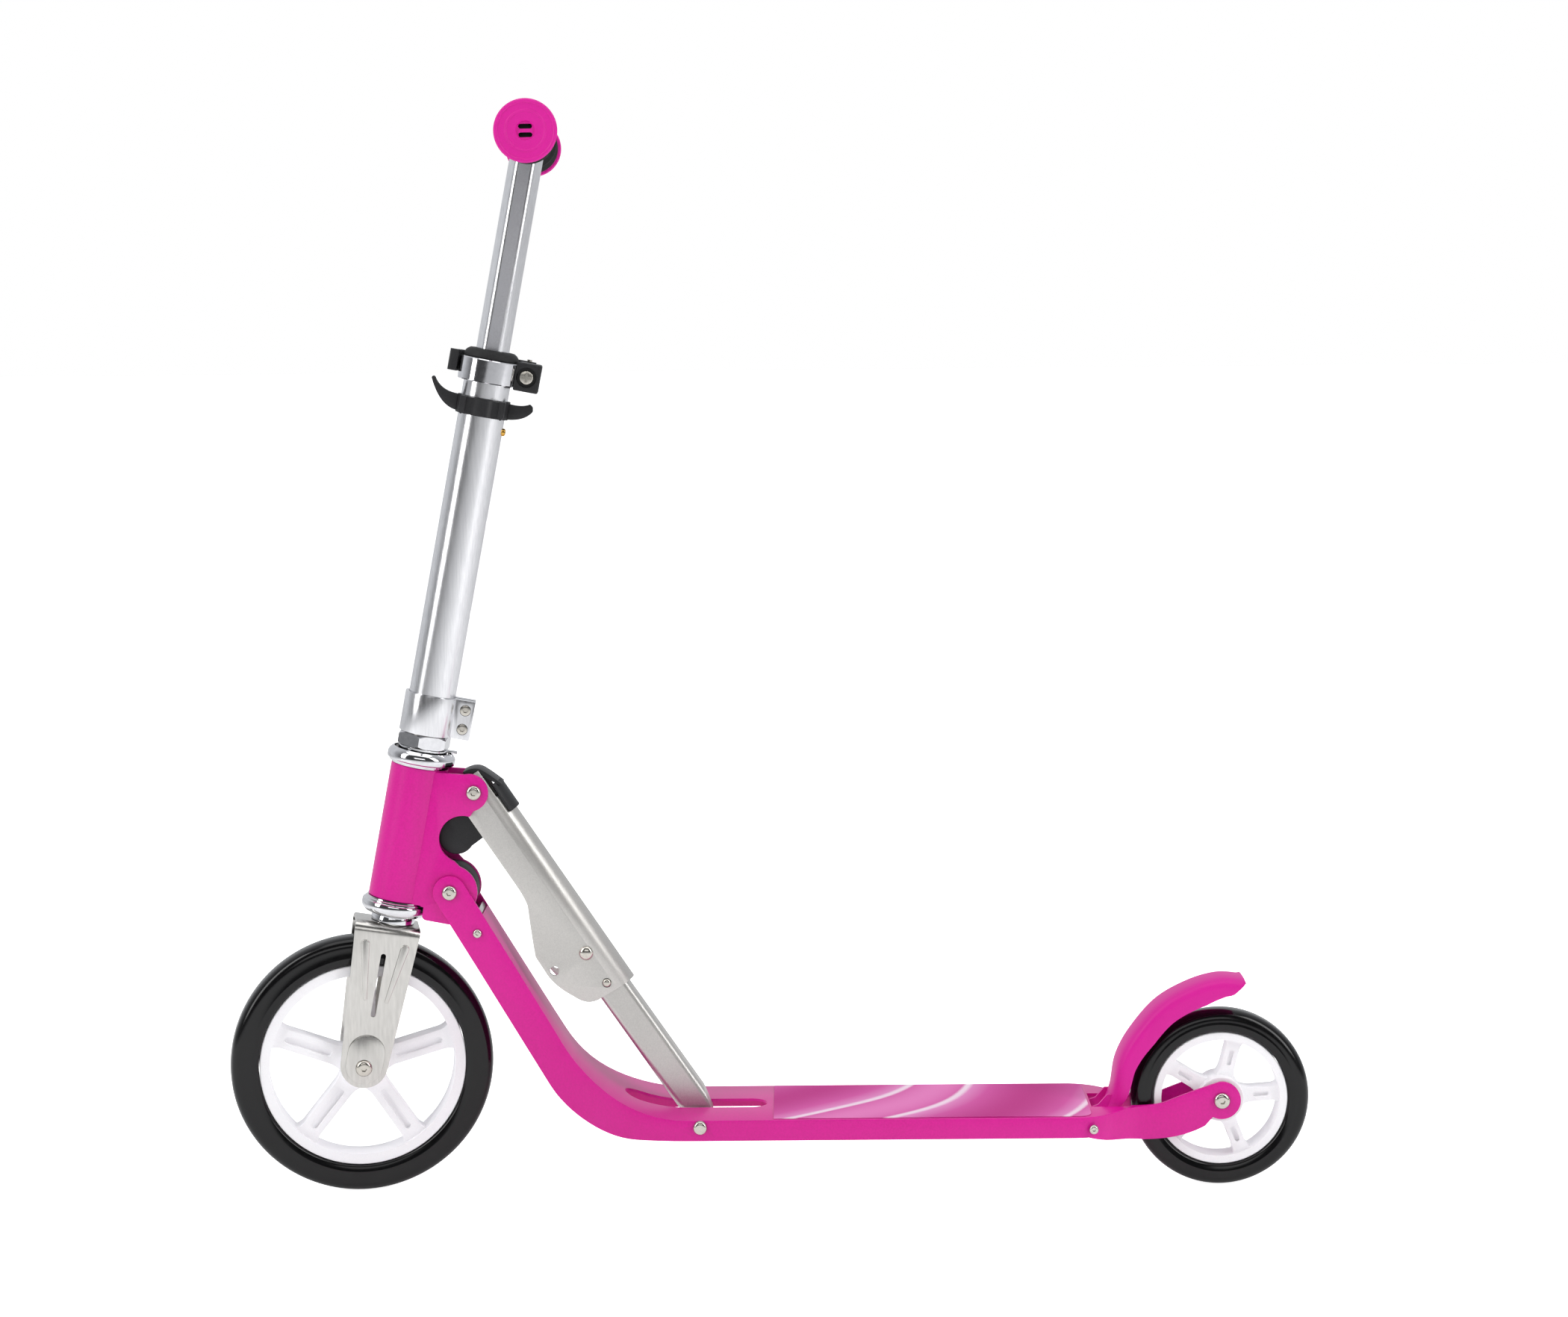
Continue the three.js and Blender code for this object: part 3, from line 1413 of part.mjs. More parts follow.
// The joints' places and axes, in the row's own frame, for the record.
scooter.updateMatrixWorld(true);
const placed = (group, ...place) => group.localToWorld(new THREE.Vector3(...place)).toArray();
const pointing = (group, ...way) =>
  new THREE.Vector3(...way).transformDirection(group.matrixWorld).toArray();
const sideways = (point) => [point.x + frontX, 0, point.y];
export const jointPlaces = {
  steering: [placed(steering, 0, 0, 0), pointing(steering, 0, 0, 1)],
  frontWheel: [placed(frontWheelGroup, 0, 0, 0), pointing(frontWheelGroup, 0, 1, 0)],
  rearWheel: [placed(rearWheelGroup, 0, 0, 0), pointing(rearWheelGroup, 0, 1, 0)],
  clampLever: [placed(columnGroup, clampX, clampPivotY, clampHeight), pointing(columnGroup, 0, 0, -1)],
  heightButton: [placed(columnGroup, 0, 0, snapHeight), pointing(columnGroup, -1, 0, 0)],
  capLeft: [
    placed(columnGroup, 0, -barLength / 2, barHeight),
    pointing(columnGroup, 0, -1, 0),
  ],
  capRight: [placed(columnGroup, 0, barLength / 2, barHeight), pointing(columnGroup, 0, 1, 0)],
  fold: [sideways(armPivot), [0, 1, 0]],
  strutTop: [sideways(strutTop), [0, 1, 0]],
  strutFoot: [sideways(strutFoot), [0, 1, 0]],
  brake: [sideways(brakePivot), [0, 1, 0]],
};

export default scooter;
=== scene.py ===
# %% [markdown]
# A folding kick scooter, built piece by piece round its own working frame. The frame is the packed
# solid model: it says where every pivot, axle and tube stands. Here each plain solid is given its
# real edges, thickness and finish, and rides on the same moving body as the solid it stands for.

# %% Load the frame
import json
import math
import bpy
from mathutils import Matrix, Vector

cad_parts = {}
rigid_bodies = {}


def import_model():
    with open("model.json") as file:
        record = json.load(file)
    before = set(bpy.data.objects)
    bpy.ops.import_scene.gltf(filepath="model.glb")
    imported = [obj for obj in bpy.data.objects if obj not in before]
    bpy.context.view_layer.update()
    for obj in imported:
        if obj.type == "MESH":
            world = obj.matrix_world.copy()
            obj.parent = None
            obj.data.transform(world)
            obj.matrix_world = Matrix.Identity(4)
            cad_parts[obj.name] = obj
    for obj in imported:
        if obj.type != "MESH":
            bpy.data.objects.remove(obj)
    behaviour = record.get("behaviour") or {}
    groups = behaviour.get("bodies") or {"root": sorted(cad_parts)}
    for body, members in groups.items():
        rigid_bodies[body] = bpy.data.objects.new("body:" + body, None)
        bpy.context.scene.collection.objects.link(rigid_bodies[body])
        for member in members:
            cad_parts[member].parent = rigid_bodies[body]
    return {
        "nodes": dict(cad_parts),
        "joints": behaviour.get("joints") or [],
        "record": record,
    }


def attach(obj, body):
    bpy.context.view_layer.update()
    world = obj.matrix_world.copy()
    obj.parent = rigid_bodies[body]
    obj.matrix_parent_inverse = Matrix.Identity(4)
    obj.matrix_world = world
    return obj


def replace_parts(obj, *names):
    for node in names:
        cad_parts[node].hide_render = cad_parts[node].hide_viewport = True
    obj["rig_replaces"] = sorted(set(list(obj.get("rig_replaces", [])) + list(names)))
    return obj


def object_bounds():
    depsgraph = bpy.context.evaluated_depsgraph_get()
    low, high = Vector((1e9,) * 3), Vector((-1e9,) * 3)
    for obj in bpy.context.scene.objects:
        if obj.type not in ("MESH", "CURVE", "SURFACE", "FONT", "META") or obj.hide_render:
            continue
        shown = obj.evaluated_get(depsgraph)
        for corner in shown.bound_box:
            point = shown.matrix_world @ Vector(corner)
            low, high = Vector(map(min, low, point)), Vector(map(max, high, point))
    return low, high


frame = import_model()


def plain(box):
    return [[float(x) for x in corner] for corner in box]


solid_box = plain(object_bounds())
joints = {joint["name"]: joint for joint in frame["joints"]}
body_of = {}
for body, members in frame["record"]["behaviour"]["bodies"].items():
    for member in members:
        body_of[member] = body
print("pieces in the frame:", len(frame["nodes"]), "moving joints:", len(joints))

# %% [markdown]
# The scooter has four working directions. Side pieces are drawn in the side view. The head, the fork
# and the column each turn a little about the steering axis. Making one placing matrix for each lets
# a piece be drawn upright in millimetres and then set in its true place with one transform.

# %% Placing matrices from the joints
def joint_place(name):
    return Vector(joints[name]["pos_m"])


def turn(degrees, axis):
    return Matrix.Rotation(math.radians(degrees), 4, axis)


MM = Matrix.Scale(0.001, 4)
WHEELBASE = 673
steer_axis = Vector(joints["steering"]["axis"]).normalized()
HEAD_TILT = math.degrees(math.atan2(steer_axis.x, steer_axis.z))
rear_place = joint_place("rear_wheel_spin")
SIDE = Matrix.Translation((rear_place.x - WHEELBASE / 1000, 0, 0)) @ MM
HEAD = Matrix.Translation(joint_place("steering")) @ turn(HEAD_TILT, "Y") @ MM
FORK = HEAD @ turn(10.4, "Z")
COLUMN = FORK @ turn(-6.6, "Z")
FRONT = FORK @ Matrix.Translation((-4, 0, 0))
REAR = Matrix.Translation(rear_place) @ MM
print("head tilt", round(HEAD_TILT, 2), "front axle", [round(v, 4) for v in FRONT.translation])


# %% [markdown]
# Nearly every piece starts in one of two ways. A pressed or cut plate is an outline given thickness,
# and a turned part is a half section spun round its axis. Both start from a circle primitive whose
# points are moved onto the outline, so the drawing stays a short list of numbers.

# %% Selecting
def clear():
    if bpy.context.mode != "OBJECT":
        bpy.ops.object.mode_set(mode="OBJECT")
    bpy.ops.object.select_all(action="DESELECT")


def only(piece):
    clear()
    piece.select_set(True)
    bpy.context.view_layer.objects.active = piece
    return piece


# %% An outline from lines, arcs and curves
def outline(*parts, step=6):
    points = []
    for part in parts:
        if part[0] == "arc":
            _, x, z, r, start, end = part
            count = max(2, math.ceil(abs(end - start) / step))
            for i in range(count + 1):
                a = math.radians(start + (end - start) * i / count)
                points.append((x + r * math.cos(a), z + r * math.sin(a)))
        elif part[0] == "curve":
            start, ways = points[-1], part[1:]
            for i in range(1, 13):
                line, t = [start, *ways], i / 12
                while len(line) > 1:
                    line = [
                        (p[0] + (q[0] - p[0]) * t, p[1] + (q[1] - p[1]) * t)
                        for p, q in zip(line, line[1:])
                    ]
                points.append(line[0])
        else:
            points.append(part)
    kept = []
    for point in points:
        if not kept or math.dist(point, kept[-1]) > 1e-4:
            kept.append(point)
    if math.dist(kept[0], kept[-1]) < 1e-4:
        kept.pop()
    return kept


# %% A plate, a turned part and a box
def flat_ring(points, filled, to_space):
    clear()
    fill = "NGON" if filled else "NOTHING"
    bpy.ops.mesh.primitive_circle_add(vertices=len(points), radius=1, fill_type=fill)
    piece = bpy.context.active_object
    for vertex, point in zip(piece.data.vertices, points):
        vertex.co = to_space(*point)
    return piece


def closed_up(piece):
    only(piece)
    bpy.ops.object.mode_set(mode="EDIT")
    bpy.ops.mesh.select_all(action="SELECT")
    bpy.ops.mesh.remove_doubles(threshold=1e-4)
    bpy.ops.mesh.delete_loose()
    bpy.ops.mesh.select_all(action="SELECT")
    bpy.ops.mesh.normals_make_consistent(inside=False)
    bpy.ops.object.mode_set(mode="OBJECT")
    return piece


def thickened(piece, way):
    only(piece)
    bpy.ops.object.mode_set(mode="EDIT")
    bpy.ops.mesh.select_all(action="SELECT")
    bpy.ops.mesh.extrude_region_move(TRANSFORM_OT_translate={"value": way})
    return closed_up(piece)


def slab(points, y0, y1):
    return thickened(flat_ring(points, True, lambda x, z: (x, y0, z)), (0, y1 - y0, 0))


def plan(points, z0, z1):
    return thickened(flat_ring(points, True, lambda x, y: (x, y, z0)), (0, 0, z1 - z0))


def brick(x0, x1, y0, y1, z0, z1):
    return plan([(x0, y0), (x1, y0), (x1, y1), (x0, y1)], z0, z1)


def turned(points, steps=96, axis="Z"):
    piece = flat_ring(points, False, lambda r, h: (r, 0, h))
    only(piece)
    bpy.ops.object.mode_set(mode="EDIT")
    bpy.ops.mesh.select_all(action="SELECT")
    bpy.ops.mesh.spin(steps=steps, angle=math.tau, center=(0, 0, 0), axis=(0, 0, 1))
    closed_up(piece)
    return moved(piece, turn(-90, "X")) if axis == "Y" else piece


def moved(piece, matrix):
    only(piece)
    piece.matrix_world = matrix
    bpy.ops.object.transform_apply(location=True, rotation=True, scale=True)
    return piece


def shifted(piece, x=0, y=0, z=0):
    return moved(piece, Matrix.Translation((x, y, z)))


def tube(inner, outer, low, high, steps=72, axis="Z", edge=0.3):
    e = edge
    points = [(inner, low), (outer - e, low), (outer, low + e)]
    points += [(outer, high - e), (outer - e, high), (inner, high)]
    return turned(points, steps, axis)


def pin(r, low, high, steps=48, axis="Z"):
    return turned([(0, low), (r, low), (r, high), (0, high)], steps, axis)


def pin_at(x, z, r, low, high, steps=48):
    return shifted(pin(r, low, high, steps, "Y"), x, 0, z)


# %% Cutting, joining and rounding
def combined(piece, tools, how):
    for tool in tools:
        only(piece)
        cut = piece.modifiers.new("cut", "BOOLEAN")
        cut.operation, cut.solver, cut.object = how, "EXACT", tool
        bpy.ops.object.modifier_apply(modifier=cut.name)
        bpy.data.objects.remove(tool)
    return piece


def carved(piece, *tools):
    return combined(piece, tools, "DIFFERENCE")


def welded(piece, *tools):
    return combined(piece, tools, "UNION")


def trimmed(piece, *tools):
    return combined(piece, tools, "INTERSECT")


def rounded(piece, width, segments=3, angle=32):
    only(piece)
    soft = piece.modifiers.new("edge", "BEVEL")
    soft.width, soft.segments, soft.limit_method = width, segments, "ANGLE"
    soft.angle_limit = math.radians(angle)
    bpy.ops.object.modifier_apply(modifier=soft.name)
    return piece


def copied(piece):
    only(piece)
    bpy.ops.object.duplicate()
    return bpy.context.active_object


def both_sides(make):
    return make(-1), make(1)


# %% [markdown]
# Now the finishes. Each real surface differs in three small ways: its colour drifts a little over a
# hand's width, its gloss changes where it was handled or drawn, and it has a fine relief. One helper
# sets up those three from noise in the object's own coordinates, and the numbers make each its own.

# %% A finish with drift, uneven gloss and fine relief
def finish(name, dark, light, metal, rough, grain, stretch=(1, 1, 1), tilt=0,
           relief=0.1, depth=0.00004, rough_spread=0.08, coat=0.0, drift=6):
    material = bpy.data.materials.new(name)
    material.use_nodes = True
    tree = material.node_tree
    shader = tree.nodes["Principled BSDF"]
    shader.inputs["Metallic"].default_value = metal
    shader.inputs["Coat Weight"].default_value = coat
    shader.inputs["Specular IOR Level"].default_value = 0.5 if metal else 0.35
    shader.inputs["Coat Roughness"].default_value = 0.12
    place = tree.nodes.new("ShaderNodeTexCoord")
    mapping = tree.nodes.new("ShaderNodeMapping")
    mapping.inputs["Rotation"].default_value = (0, math.radians(-tilt), 0)
    mapping.inputs["Scale"].default_value = stretch
    tree.links.new(place.outputs["Object"], mapping.inputs["Vector"])
    fine = tree.nodes.new("ShaderNodeTexNoise")
    fine.inputs["Scale"].default_value = grain
    fine.inputs["Detail"].default_value = 4
    tree.links.new(mapping.outputs["Vector"], fine.inputs["Vector"])
    broad = tree.nodes.new("ShaderNodeTexNoise")
    broad.inputs["Scale"].default_value = drift
    broad.inputs["Detail"].default_value = 3
    tree.links.new(place.outputs["Object"], broad.inputs["Vector"])
    both = tree.nodes.new("ShaderNodeMix")
    both.data_type = "FLOAT"
    both.inputs[0].default_value = 0.5
    tree.links.new(fine.outputs["Fac"], both.inputs[2])
    tree.links.new(broad.outputs["Fac"], both.inputs[3])
    ramp = tree.nodes.new("ShaderNodeValToRGB")
    ramp.color_ramp.elements[0].position = 0.35
    ramp.color_ramp.elements[1].position = 0.65
    ramp.color_ramp.elements[0].color = (*dark, 1)
    ramp.color_ramp.elements[1].color = (*light, 1)
    tree.links.new(both.outputs[0], ramp.inputs["Fac"])
    tree.links.new(ramp.outputs["Color"], shader.inputs["Base Color"])
    gloss = tree.nodes.new("ShaderNodeMapRange")
    gloss.inputs["To Min"].default_value = max(0.02, rough - rough_spread)
    gloss.inputs["To Max"].default_value = rough + rough_spread
    tree.links.new(both.outputs[0], gloss.inputs["Value"])
    tree.links.new(gloss.outputs["Result"], shader.inputs["Roughness"])
    bump = tree.nodes.new("ShaderNodeBump")
    bump.inputs["Strength"].default_value = relief
    bump.inputs["Distance"].default_value = depth
    tree.links.new(fine.outputs["Fac"], bump.inputs["Height"])
    tree.links.new(bump.outputs["Normal"], shader.inputs["Normal"])
    return material


def tone(r, g, b):
    return tuple(((c / 255 + 0.055) / 1.055) ** 2.4 if c > 10 else c / 3295 for c in (r, g, b))


# %% [markdown]
# The deck, the head bracket and the fender share one strong pink. The two metal ones are powder
# coated, which leaves a very fine orange-peel skin. The moulded caps and fender have a duller grain.

# %% Pink coat and pink moulding
pink_coat = finish("pink powder coat", tone(202, 8, 134), tone(220, 14, 152), 0, 0.34, 700,
                   relief=0.25, depth=0.00005, rough_spread=0.06, coat=0.05)
pink_moulding = finish("pink moulding", tone(204, 10, 140), tone(222, 18, 158), 0, 0.44, 1600,
                       relief=0.3, depth=0.00004, rough_spread=0.08)

# %% [markdown]
# The black pieces are three different stuffs: a moulded plastic with a spark-eroded grain, a soft
# rubber that stays matt, and the cast wheel tyres, which are glossy and show the lamps as crescents.

# %% Blacks and white
black_moulding = finish("black moulding", tone(20, 20, 22), tone(38, 38, 40), 0, 0.45, 1500,
                        relief=0.35, depth=0.00005)
black_rubber = finish("black rubber", tone(16, 16, 17), tone(32, 32, 33), 0, 0.62, 1100,
                      relief=0.4, depth=0.00006, rough_spread=0.1)
tyre_gloss = finish("cast tyre", tone(5, 5, 6), tone(13, 13, 14), 0, 0.16, 260,
                    relief=0.06, depth=0.00008, rough_spread=0.07)
white_nylon = finish("white nylon", tone(244, 242, 246), tone(252, 251, 253), 0, 0.42, 1300,
                     relief=0.2, depth=0.00004)

# %% [markdown]
# The metals are drawn tube, stamped sheet, polished chrome and nickel. Drawing leaves fine lines
# along the tube, so the noise is stretched by squeezing its scale along the tube's own direction.

# %% Metals
STRUT_TILT = -56.4
drawn_tube = finish("drawn aluminium", tone(208, 208, 211), tone(230, 230, 232), 1, 0.22, 900,
                    stretch=(1, 1, 0.03), tilt=HEAD_TILT, relief=0.25, depth=0.00003)
# painted shade: this darker grey goes on the stem's two side flats only
side_flat_shade_metal = finish("aluminium with painted side shade", tone(150, 150, 154), tone(176, 176, 180), 1, 0.5, 1500,
                   relief=0.5, depth=0.00006, rough_spread=0.1)
strut_metal = finish("anodised strut", tone(186, 184, 181), tone(206, 204, 200), 1, 0.4, 1300,
                     relief=0.35, depth=0.00004, rough_spread=0.08)
stamped_steel = finish("stamped steel", tone(186, 184, 180), tone(208, 206, 202), 1, 0.24, 500,
                       stretch=(1, 1, 0.15), tilt=HEAD_TILT, relief=0.12, depth=0.00005)
chrome = finish("polished chrome", tone(206, 206, 209), tone(222, 222, 225), 1, 0.09, 300,
                relief=0.03, depth=0.00004, rough_spread=0.05)
nickel = finish("nickel plate", tone(188, 183, 174), tone(206, 202, 194), 1, 0.2, 900,
                relief=0.12, depth=0.00003)
brass = finish("brass", tone(188, 140, 56), tone(214, 168, 82), 1, 0.22, 900, relief=0.1)
slot_finish = {
    "pink_metal": pink_coat,
    "pink_plastic": pink_moulding,
    "black_plastic": black_moulding,
    "black_rubber": black_rubber,
    "black_tyre": tyre_gloss,
    "white_core": white_nylon,
    "satin_aluminium": drawn_tube,
    "stamped_steel": stamped_steel,
    "bright_chrome": chrome,
    "fastener": nickel,
    "brass_button": brass,
}
print("finishes made:", len(slot_finish) + 2)


# %% Closing what a cut left open
def open_edges(piece):
    only(piece)
    bpy.ops.object.mode_set(mode="EDIT")
    bpy.ops.mesh.select_mode(type="EDGE")
    bpy.ops.mesh.select_all(action="DESELECT")
    bpy.ops.mesh.select_non_manifold()
    bpy.ops.object.mode_set(mode="OBJECT")
    return sum(edge.select for edge in piece.data.edges)


def sealed(piece):
    for merge in (0.002, 0.01, 0.03):
        if not open_edges(piece):
            break
        bpy.ops.object.mode_set(mode="EDIT")
        bpy.ops.mesh.select_all(action="SELECT")
        bpy.ops.mesh.remove_doubles(threshold=merge)
        bpy.ops.mesh.dissolve_degenerate(threshold=merge)
        bpy.ops.mesh.select_all(action="SELECT")
        bpy.ops.mesh.fill_holes(sides=0)
        bpy.ops.object.mode_set(mode="OBJECT")
    return piece


# %% Finishing a piece: shading, material, body and the solid it stands for
def done(piece, name, node, slot, material=None, smooth=32, matrix=None, also=()):
    sealed(piece)
    left = open_edges(piece)
    if matrix is not None:
        moved(piece, matrix)
    only(piece)
    bpy.ops.object.shade_smooth_by_angle(angle=math.radians(smooth))
    piece.name = piece.data.name = name
    piece.data.materials.clear()
    piece.data.materials.append(material or slot_finish[slot])
    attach(piece, body_of[node])
    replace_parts(piece, node, *also)
    print(name, "faces", len(piece.data.polygons), "open edges", left)
    return piece


# %% [markdown]
# The tyres are cast in one piece with a flat side, a soft shoulder and a round tread. A spun half
# section is the natural way, because every slice of a tyre is the same. The thin raised ring on each
# side is the mould's parting bead.

# %% Tyres
def tyre_piece(r, seat):
    half, soft = [(seat + 0.5, 11)], 8.6
    half += [(seat + 2.4, 12.6), (seat + 5, 12.7), (seat + 5.6, 13), (seat + 7, 13), (seat + 7.6, 12.7)]
    for a in range(0, 91, 9):
        t = math.radians(a)
        half.append((r - soft + soft * math.sin(t), 12.7 * math.cos(t) ** 0.62 if a < 90 else 0))
    return turned(half + [(x, -y) for x, y in reversed(half[:-1])], 144, "Y")


done(tyre_piece(102.5, 80.2), "front_tyre", "front_wheel_tyre", "black_tyre", smooth=50, matrix=FRONT)
done(tyre_piece(70, 52.4), "rear_tyre", "rear_wheel_tyre", "black_tyre", smooth=50, matrix=REAR)


# %% [markdown]
# The wheel core is moulded nylon: a rim band, a hub and five spokes that flare into both, each with a long
# round-ended hollow on its two faces. One spoke is made and its edges get one small round, as the mould leaves them.
# It is then copied round and joined to the rim band and the hub, which have small chamfers of their own.

# %% Wheel cores
def core_piece(rim_r, rim_depth, width, first):
    window = rim_r - rim_depth
    half = width / 2
    core = tube(window, rim_r, -11, 11, 144, "Y", 0.6)
    hub = turned([(9.3, -14), (17.2, -14), (18, -13.2), (18, 13.2), (17.2, 14), (9.3, 14)], 96, "Y")
    flare, foot = (9, 6) if rim_r > 60 else (6, 5)
    side = outline((15, half + 3), ("curve", (20, half), (26, half)), (window - flare, half),
                   ("curve", (window - 1, half), (window + 2, half + foot)))
    spoke = slab(side + [(x, -z) for x, z in reversed(side)], -7.5, 7.5)
    groove = width / 6
    slot = outline(("arc", window - 8 - groove, 0, groove, -90, 90),
                   ("arc", 26 + groove, 0, groove, 90, 270), step=15)
    spoke = carved(spoke, slab(slot, -9, -4.6), slab(slot, 4.6, 9))
    spoke = rounded(spoke, 0.8, 2)
    spokes = [moved(copied(spoke), turn(first + 72 * i, "Y")) for i in range(5)]
    bpy.data.objects.remove(spoke)
    core = welded(core, hub, *spokes)
    return carved(core, pin(9, -20, 20, 64, "Y"), pin(11.3, -20, -6.7, 64, "Y"),
                  pin(11.3, 6.7, 20, 64, "Y"))


done(core_piece(80.2, 8, 16, 46), "front_core", "front_wheel_core", "white_core", matrix=FRONT)
done(core_piece(52.4, 6, 11, -4), "rear_core", "rear_wheel_core", "white_core", matrix=REAR)


# %% [markdown]
# The bearings sit in the hub ends: a steel outer ring, a dark shield set a little in, and an inner
# ring. They are worth drawing because the eye goes to a wheel's centre.

# %% Bearings
def bearing_piece():
    half = [(4.4, 0), (4.4, 14), (6.6, 14), (7, 13.4), (9, 13.4), (9.4, 14), (11, 14), (11, 7)]
    half += [(6.6, 7), (6.6, 0)]
    return turned(half[:1] + half[1:] + [(r, -h) for r, h in reversed(half)][1:-1], 72, "Y")


done(bearing_piece(), "front_bearings", "front_wheel_bearings", "bright_chrome", matrix=FRONT)
done(bearing_piece(), "rear_bearings", "rear_wheel_bearings", "bright_chrome", matrix=REAR)


# %% [markdown]
# The bolts have a low dome, a hexagon socket and a thin washer edge. The same dome serves every
# pivot at its own size, on both ends of its shank.

# %% Socket bolts
def dome(r, rise, socket=0.36, sides=6):
    section = [(0, 0), (r, 0), (r, rise * 0.22)]
    for i in range(1, 9):
        a = math.radians(90 * i / 8)
        section.append((r * 0.45 + r * 0.53 * math.cos(a), rise * (0.22 + 0.78 * math.sin(a))))
    section.append((0, rise))
    head = turned(section, 64)
    if not sides:
        return head
    return carved(head, pin(r * socket, rise * 0.35, rise + 1, sides))


def cross_bolt(x, z, shank, head_r, reach, rise=3.2, socket=0.36, sides=6):
    far = moved(dome(head_r, rise, socket, sides), turn(-90, "X"))
    near = moved(copied(far), turn(180, "X"))
    body = pin(shank, -reach - 0.2, reach + 0.2, 40, "Y")
    bolt = welded(body, shifted(far, 0, reach, 0), shifted(near, 0, -reach, 0))
    return shifted(bolt, x, 0, z)


def half_bolt(reach, cut_at, keep_low):
    bolt = cross_bolt(0, 0, 4, 6.5, reach)
    wall = brick(-9, 9, cut_at, reach + 9, -9, 9)
    return carved(bolt, wall) if keep_low else trimmed(bolt, wall)


ARM = (73.3, 240.1)
TOP = (93.2, 317.7)
KNEE = (178, 190.3)
FOOT = (266.4, 61)
BRAKE = (WHEELBASE - 103.4, 57.4)
LEG = 19
done(half_bolt(20.5, 18, True), "fork_bolt", "fork_axle_bolt", "fastener", matrix=FRONT)
done(half_bolt(20.5, 18.3, False), "fork_nut", "fork_axle_nut", "fastener", matrix=FRONT)
done(half_bolt(19.3, 16.8, True), "rear_bolt", "rear_axle_bolt", "fastener", matrix=REAR)
done(half_bolt(19.3, 17.1, False), "rear_nut", "rear_axle_nut", "fastener", matrix=REAR)
done(cross_bolt(*ARM, 4, 6, 21.3), "fold_pivot_bolt", "fold_bolt", "fastener", matrix=SIDE)
done(cross_bolt(*TOP, 4, 6, 17.8), "strut_pivot_bolt", "strut_top_bolt", "fastener", matrix=SIDE)
done(cross_bolt(*FOOT, 2.6, 5.5, 54.3, 3, 0.2, 0), "foot_pin", "strut_foot_bolt", "fastener",
     matrix=SIDE)
done(cross_bolt(*BRAKE, 2.6, 3.8, 54.3, 2.8), "fender_pin", "brake_pin", "fastener", matrix=SIDE)

# %% [markdown]
# The fork is one stamped strap: two legs and a crown with a round bend between them, each leg widening
# upwards. The strap is bent first, then cut to the leg's outline, as the factory does. The two long
# ribs on each leg stiffen it, and an oval boss holds the axle.

# %% Fork
leg_side = outline(("arc", -4, 2, 18.4, 180, 360), (21.6, 112), (20.6, 115), (-28.6, 115), (-29.6, 112))
strap = outline(("arc", -11, 107, 8, 180, 90), ("arc", 11, 107, 8, 90, 0), (LEG, -17), (16.5, -17),
                ("arc", 11, 107, 5.5, 0, 90), ("arc", -11, 107, 5.5, 90, 180), (-16.5, -17), (-19, -17),
                step=9)
bent = moved(slab(strap, -30, 30), turn(90, "Z"))
fork = trimmed(shifted(bent, -4), slab(leg_side, -25, 25))
fork = rounded(fork, 0.45, 2)
boss_side = outline(("arc", -4, 1.5, 14.5, 180, 360), ("arc", -4, 11.9, 14.5, 0, 180))


def fork_boss(side):
    low, high = (-20.2, -18) if side < 0 else (18, 20.2)
    return rounded(slab(boss_side, low, high), 0.6, 2)


def fork_rib(side, lean):
    low, high = (-19.9, -18.4) if side < 0 else (18.4, 19.9)
    x0, x1 = -4 + lean * 8.5, -4 + lean * 15.5
    rib = slab(outline(("arc", x0, 55, 1.6, 180, 360), ("arc", x1, 98, 3.4, 0, 180), step=15), low, high)
    return rounded(rib, 0.7, 3)


ribs = [fork_rib(side, lean) for side in (-1, 1) for lean in (-1, 1)]
fork = welded(fork, *both_sides(fork_boss), *ribs, tube(12, 14.3, 112.4, 290, 72))
slit = slab(outline(("arc", -4, 43, 2, 180, 360), ("arc", -4, 90, 2, 0, 180), step=20), -25, 25)
fork = carved(fork, slit, pin_at(-4, 0, 4.3, -25, 25), pin(12, 106, 120, 64))
done(fork, "fork_and_steerer", "fork", "stamped_steel", matrix=FORK)

# %% [markdown]
# The headset is a stack of turned chrome: a race on the crown, a lipped cup under the head tube, and
# above it the upper cup, the tabbed race and a hexagon lock nut. Small steps and lips catch thin dark
# lines, so each half section is drawn with them.

# %% Headset
lower_cup = [(18.2, 122), (22, 122), (23.4, 122.4), (25, 124), (26, 125.4), (26.3, 126.6),
             (26.3, 130.2), (25.9, 131), (24.4, 131.6), (24.2, 132.6), (23.2, 133.2), (23, 134.2),
             (19.2, 134.2), (19.2, 143.5), (17.2, 143.5), (17.2, 131.5), (21.2, 131.5), (21.2, 124),
             (18.2, 124)]
done(turned(lower_cup, 96), "lower_cup", "lower_headset_cup", "bright_chrome", matrix=HEAD)
upper_cup = [(17.2, 231.5), (19.2, 231.5), (19.2, 240.8), (22.4, 240.8), (22.8, 241.8), (24.2, 242.2),
             (24.6, 243.2), (26, 244.2), (26.3, 245.2), (26.3, 248.6), (25.6, 250.4), (24.2, 252),
             (23, 253), (22.2, 253), (22.2, 243.5), (17.2, 243.5)]
done(turned(upper_cup, 96), "upper_cup", "upper_headset_cup", "bright_chrome", matrix=HEAD)
race = [(14.6, 115.3), (16.6, 115.3), (17, 115.7), (17, 118.6), (16, 121), (14.6, 121)]
done(turned(race, 72), "crown_race_ring", "crown_race", "bright_chrome", matrix=FORK)
tabbed = welded(tube(14.6, 19, 250.1, 255.1), rounded(brick(16.4, 26.8, -3, 3, 253.4, 255.1), 0.4, 2))
done(tabbed, "tabbed_race", "upper_race", "bright_chrome", matrix=FORK)
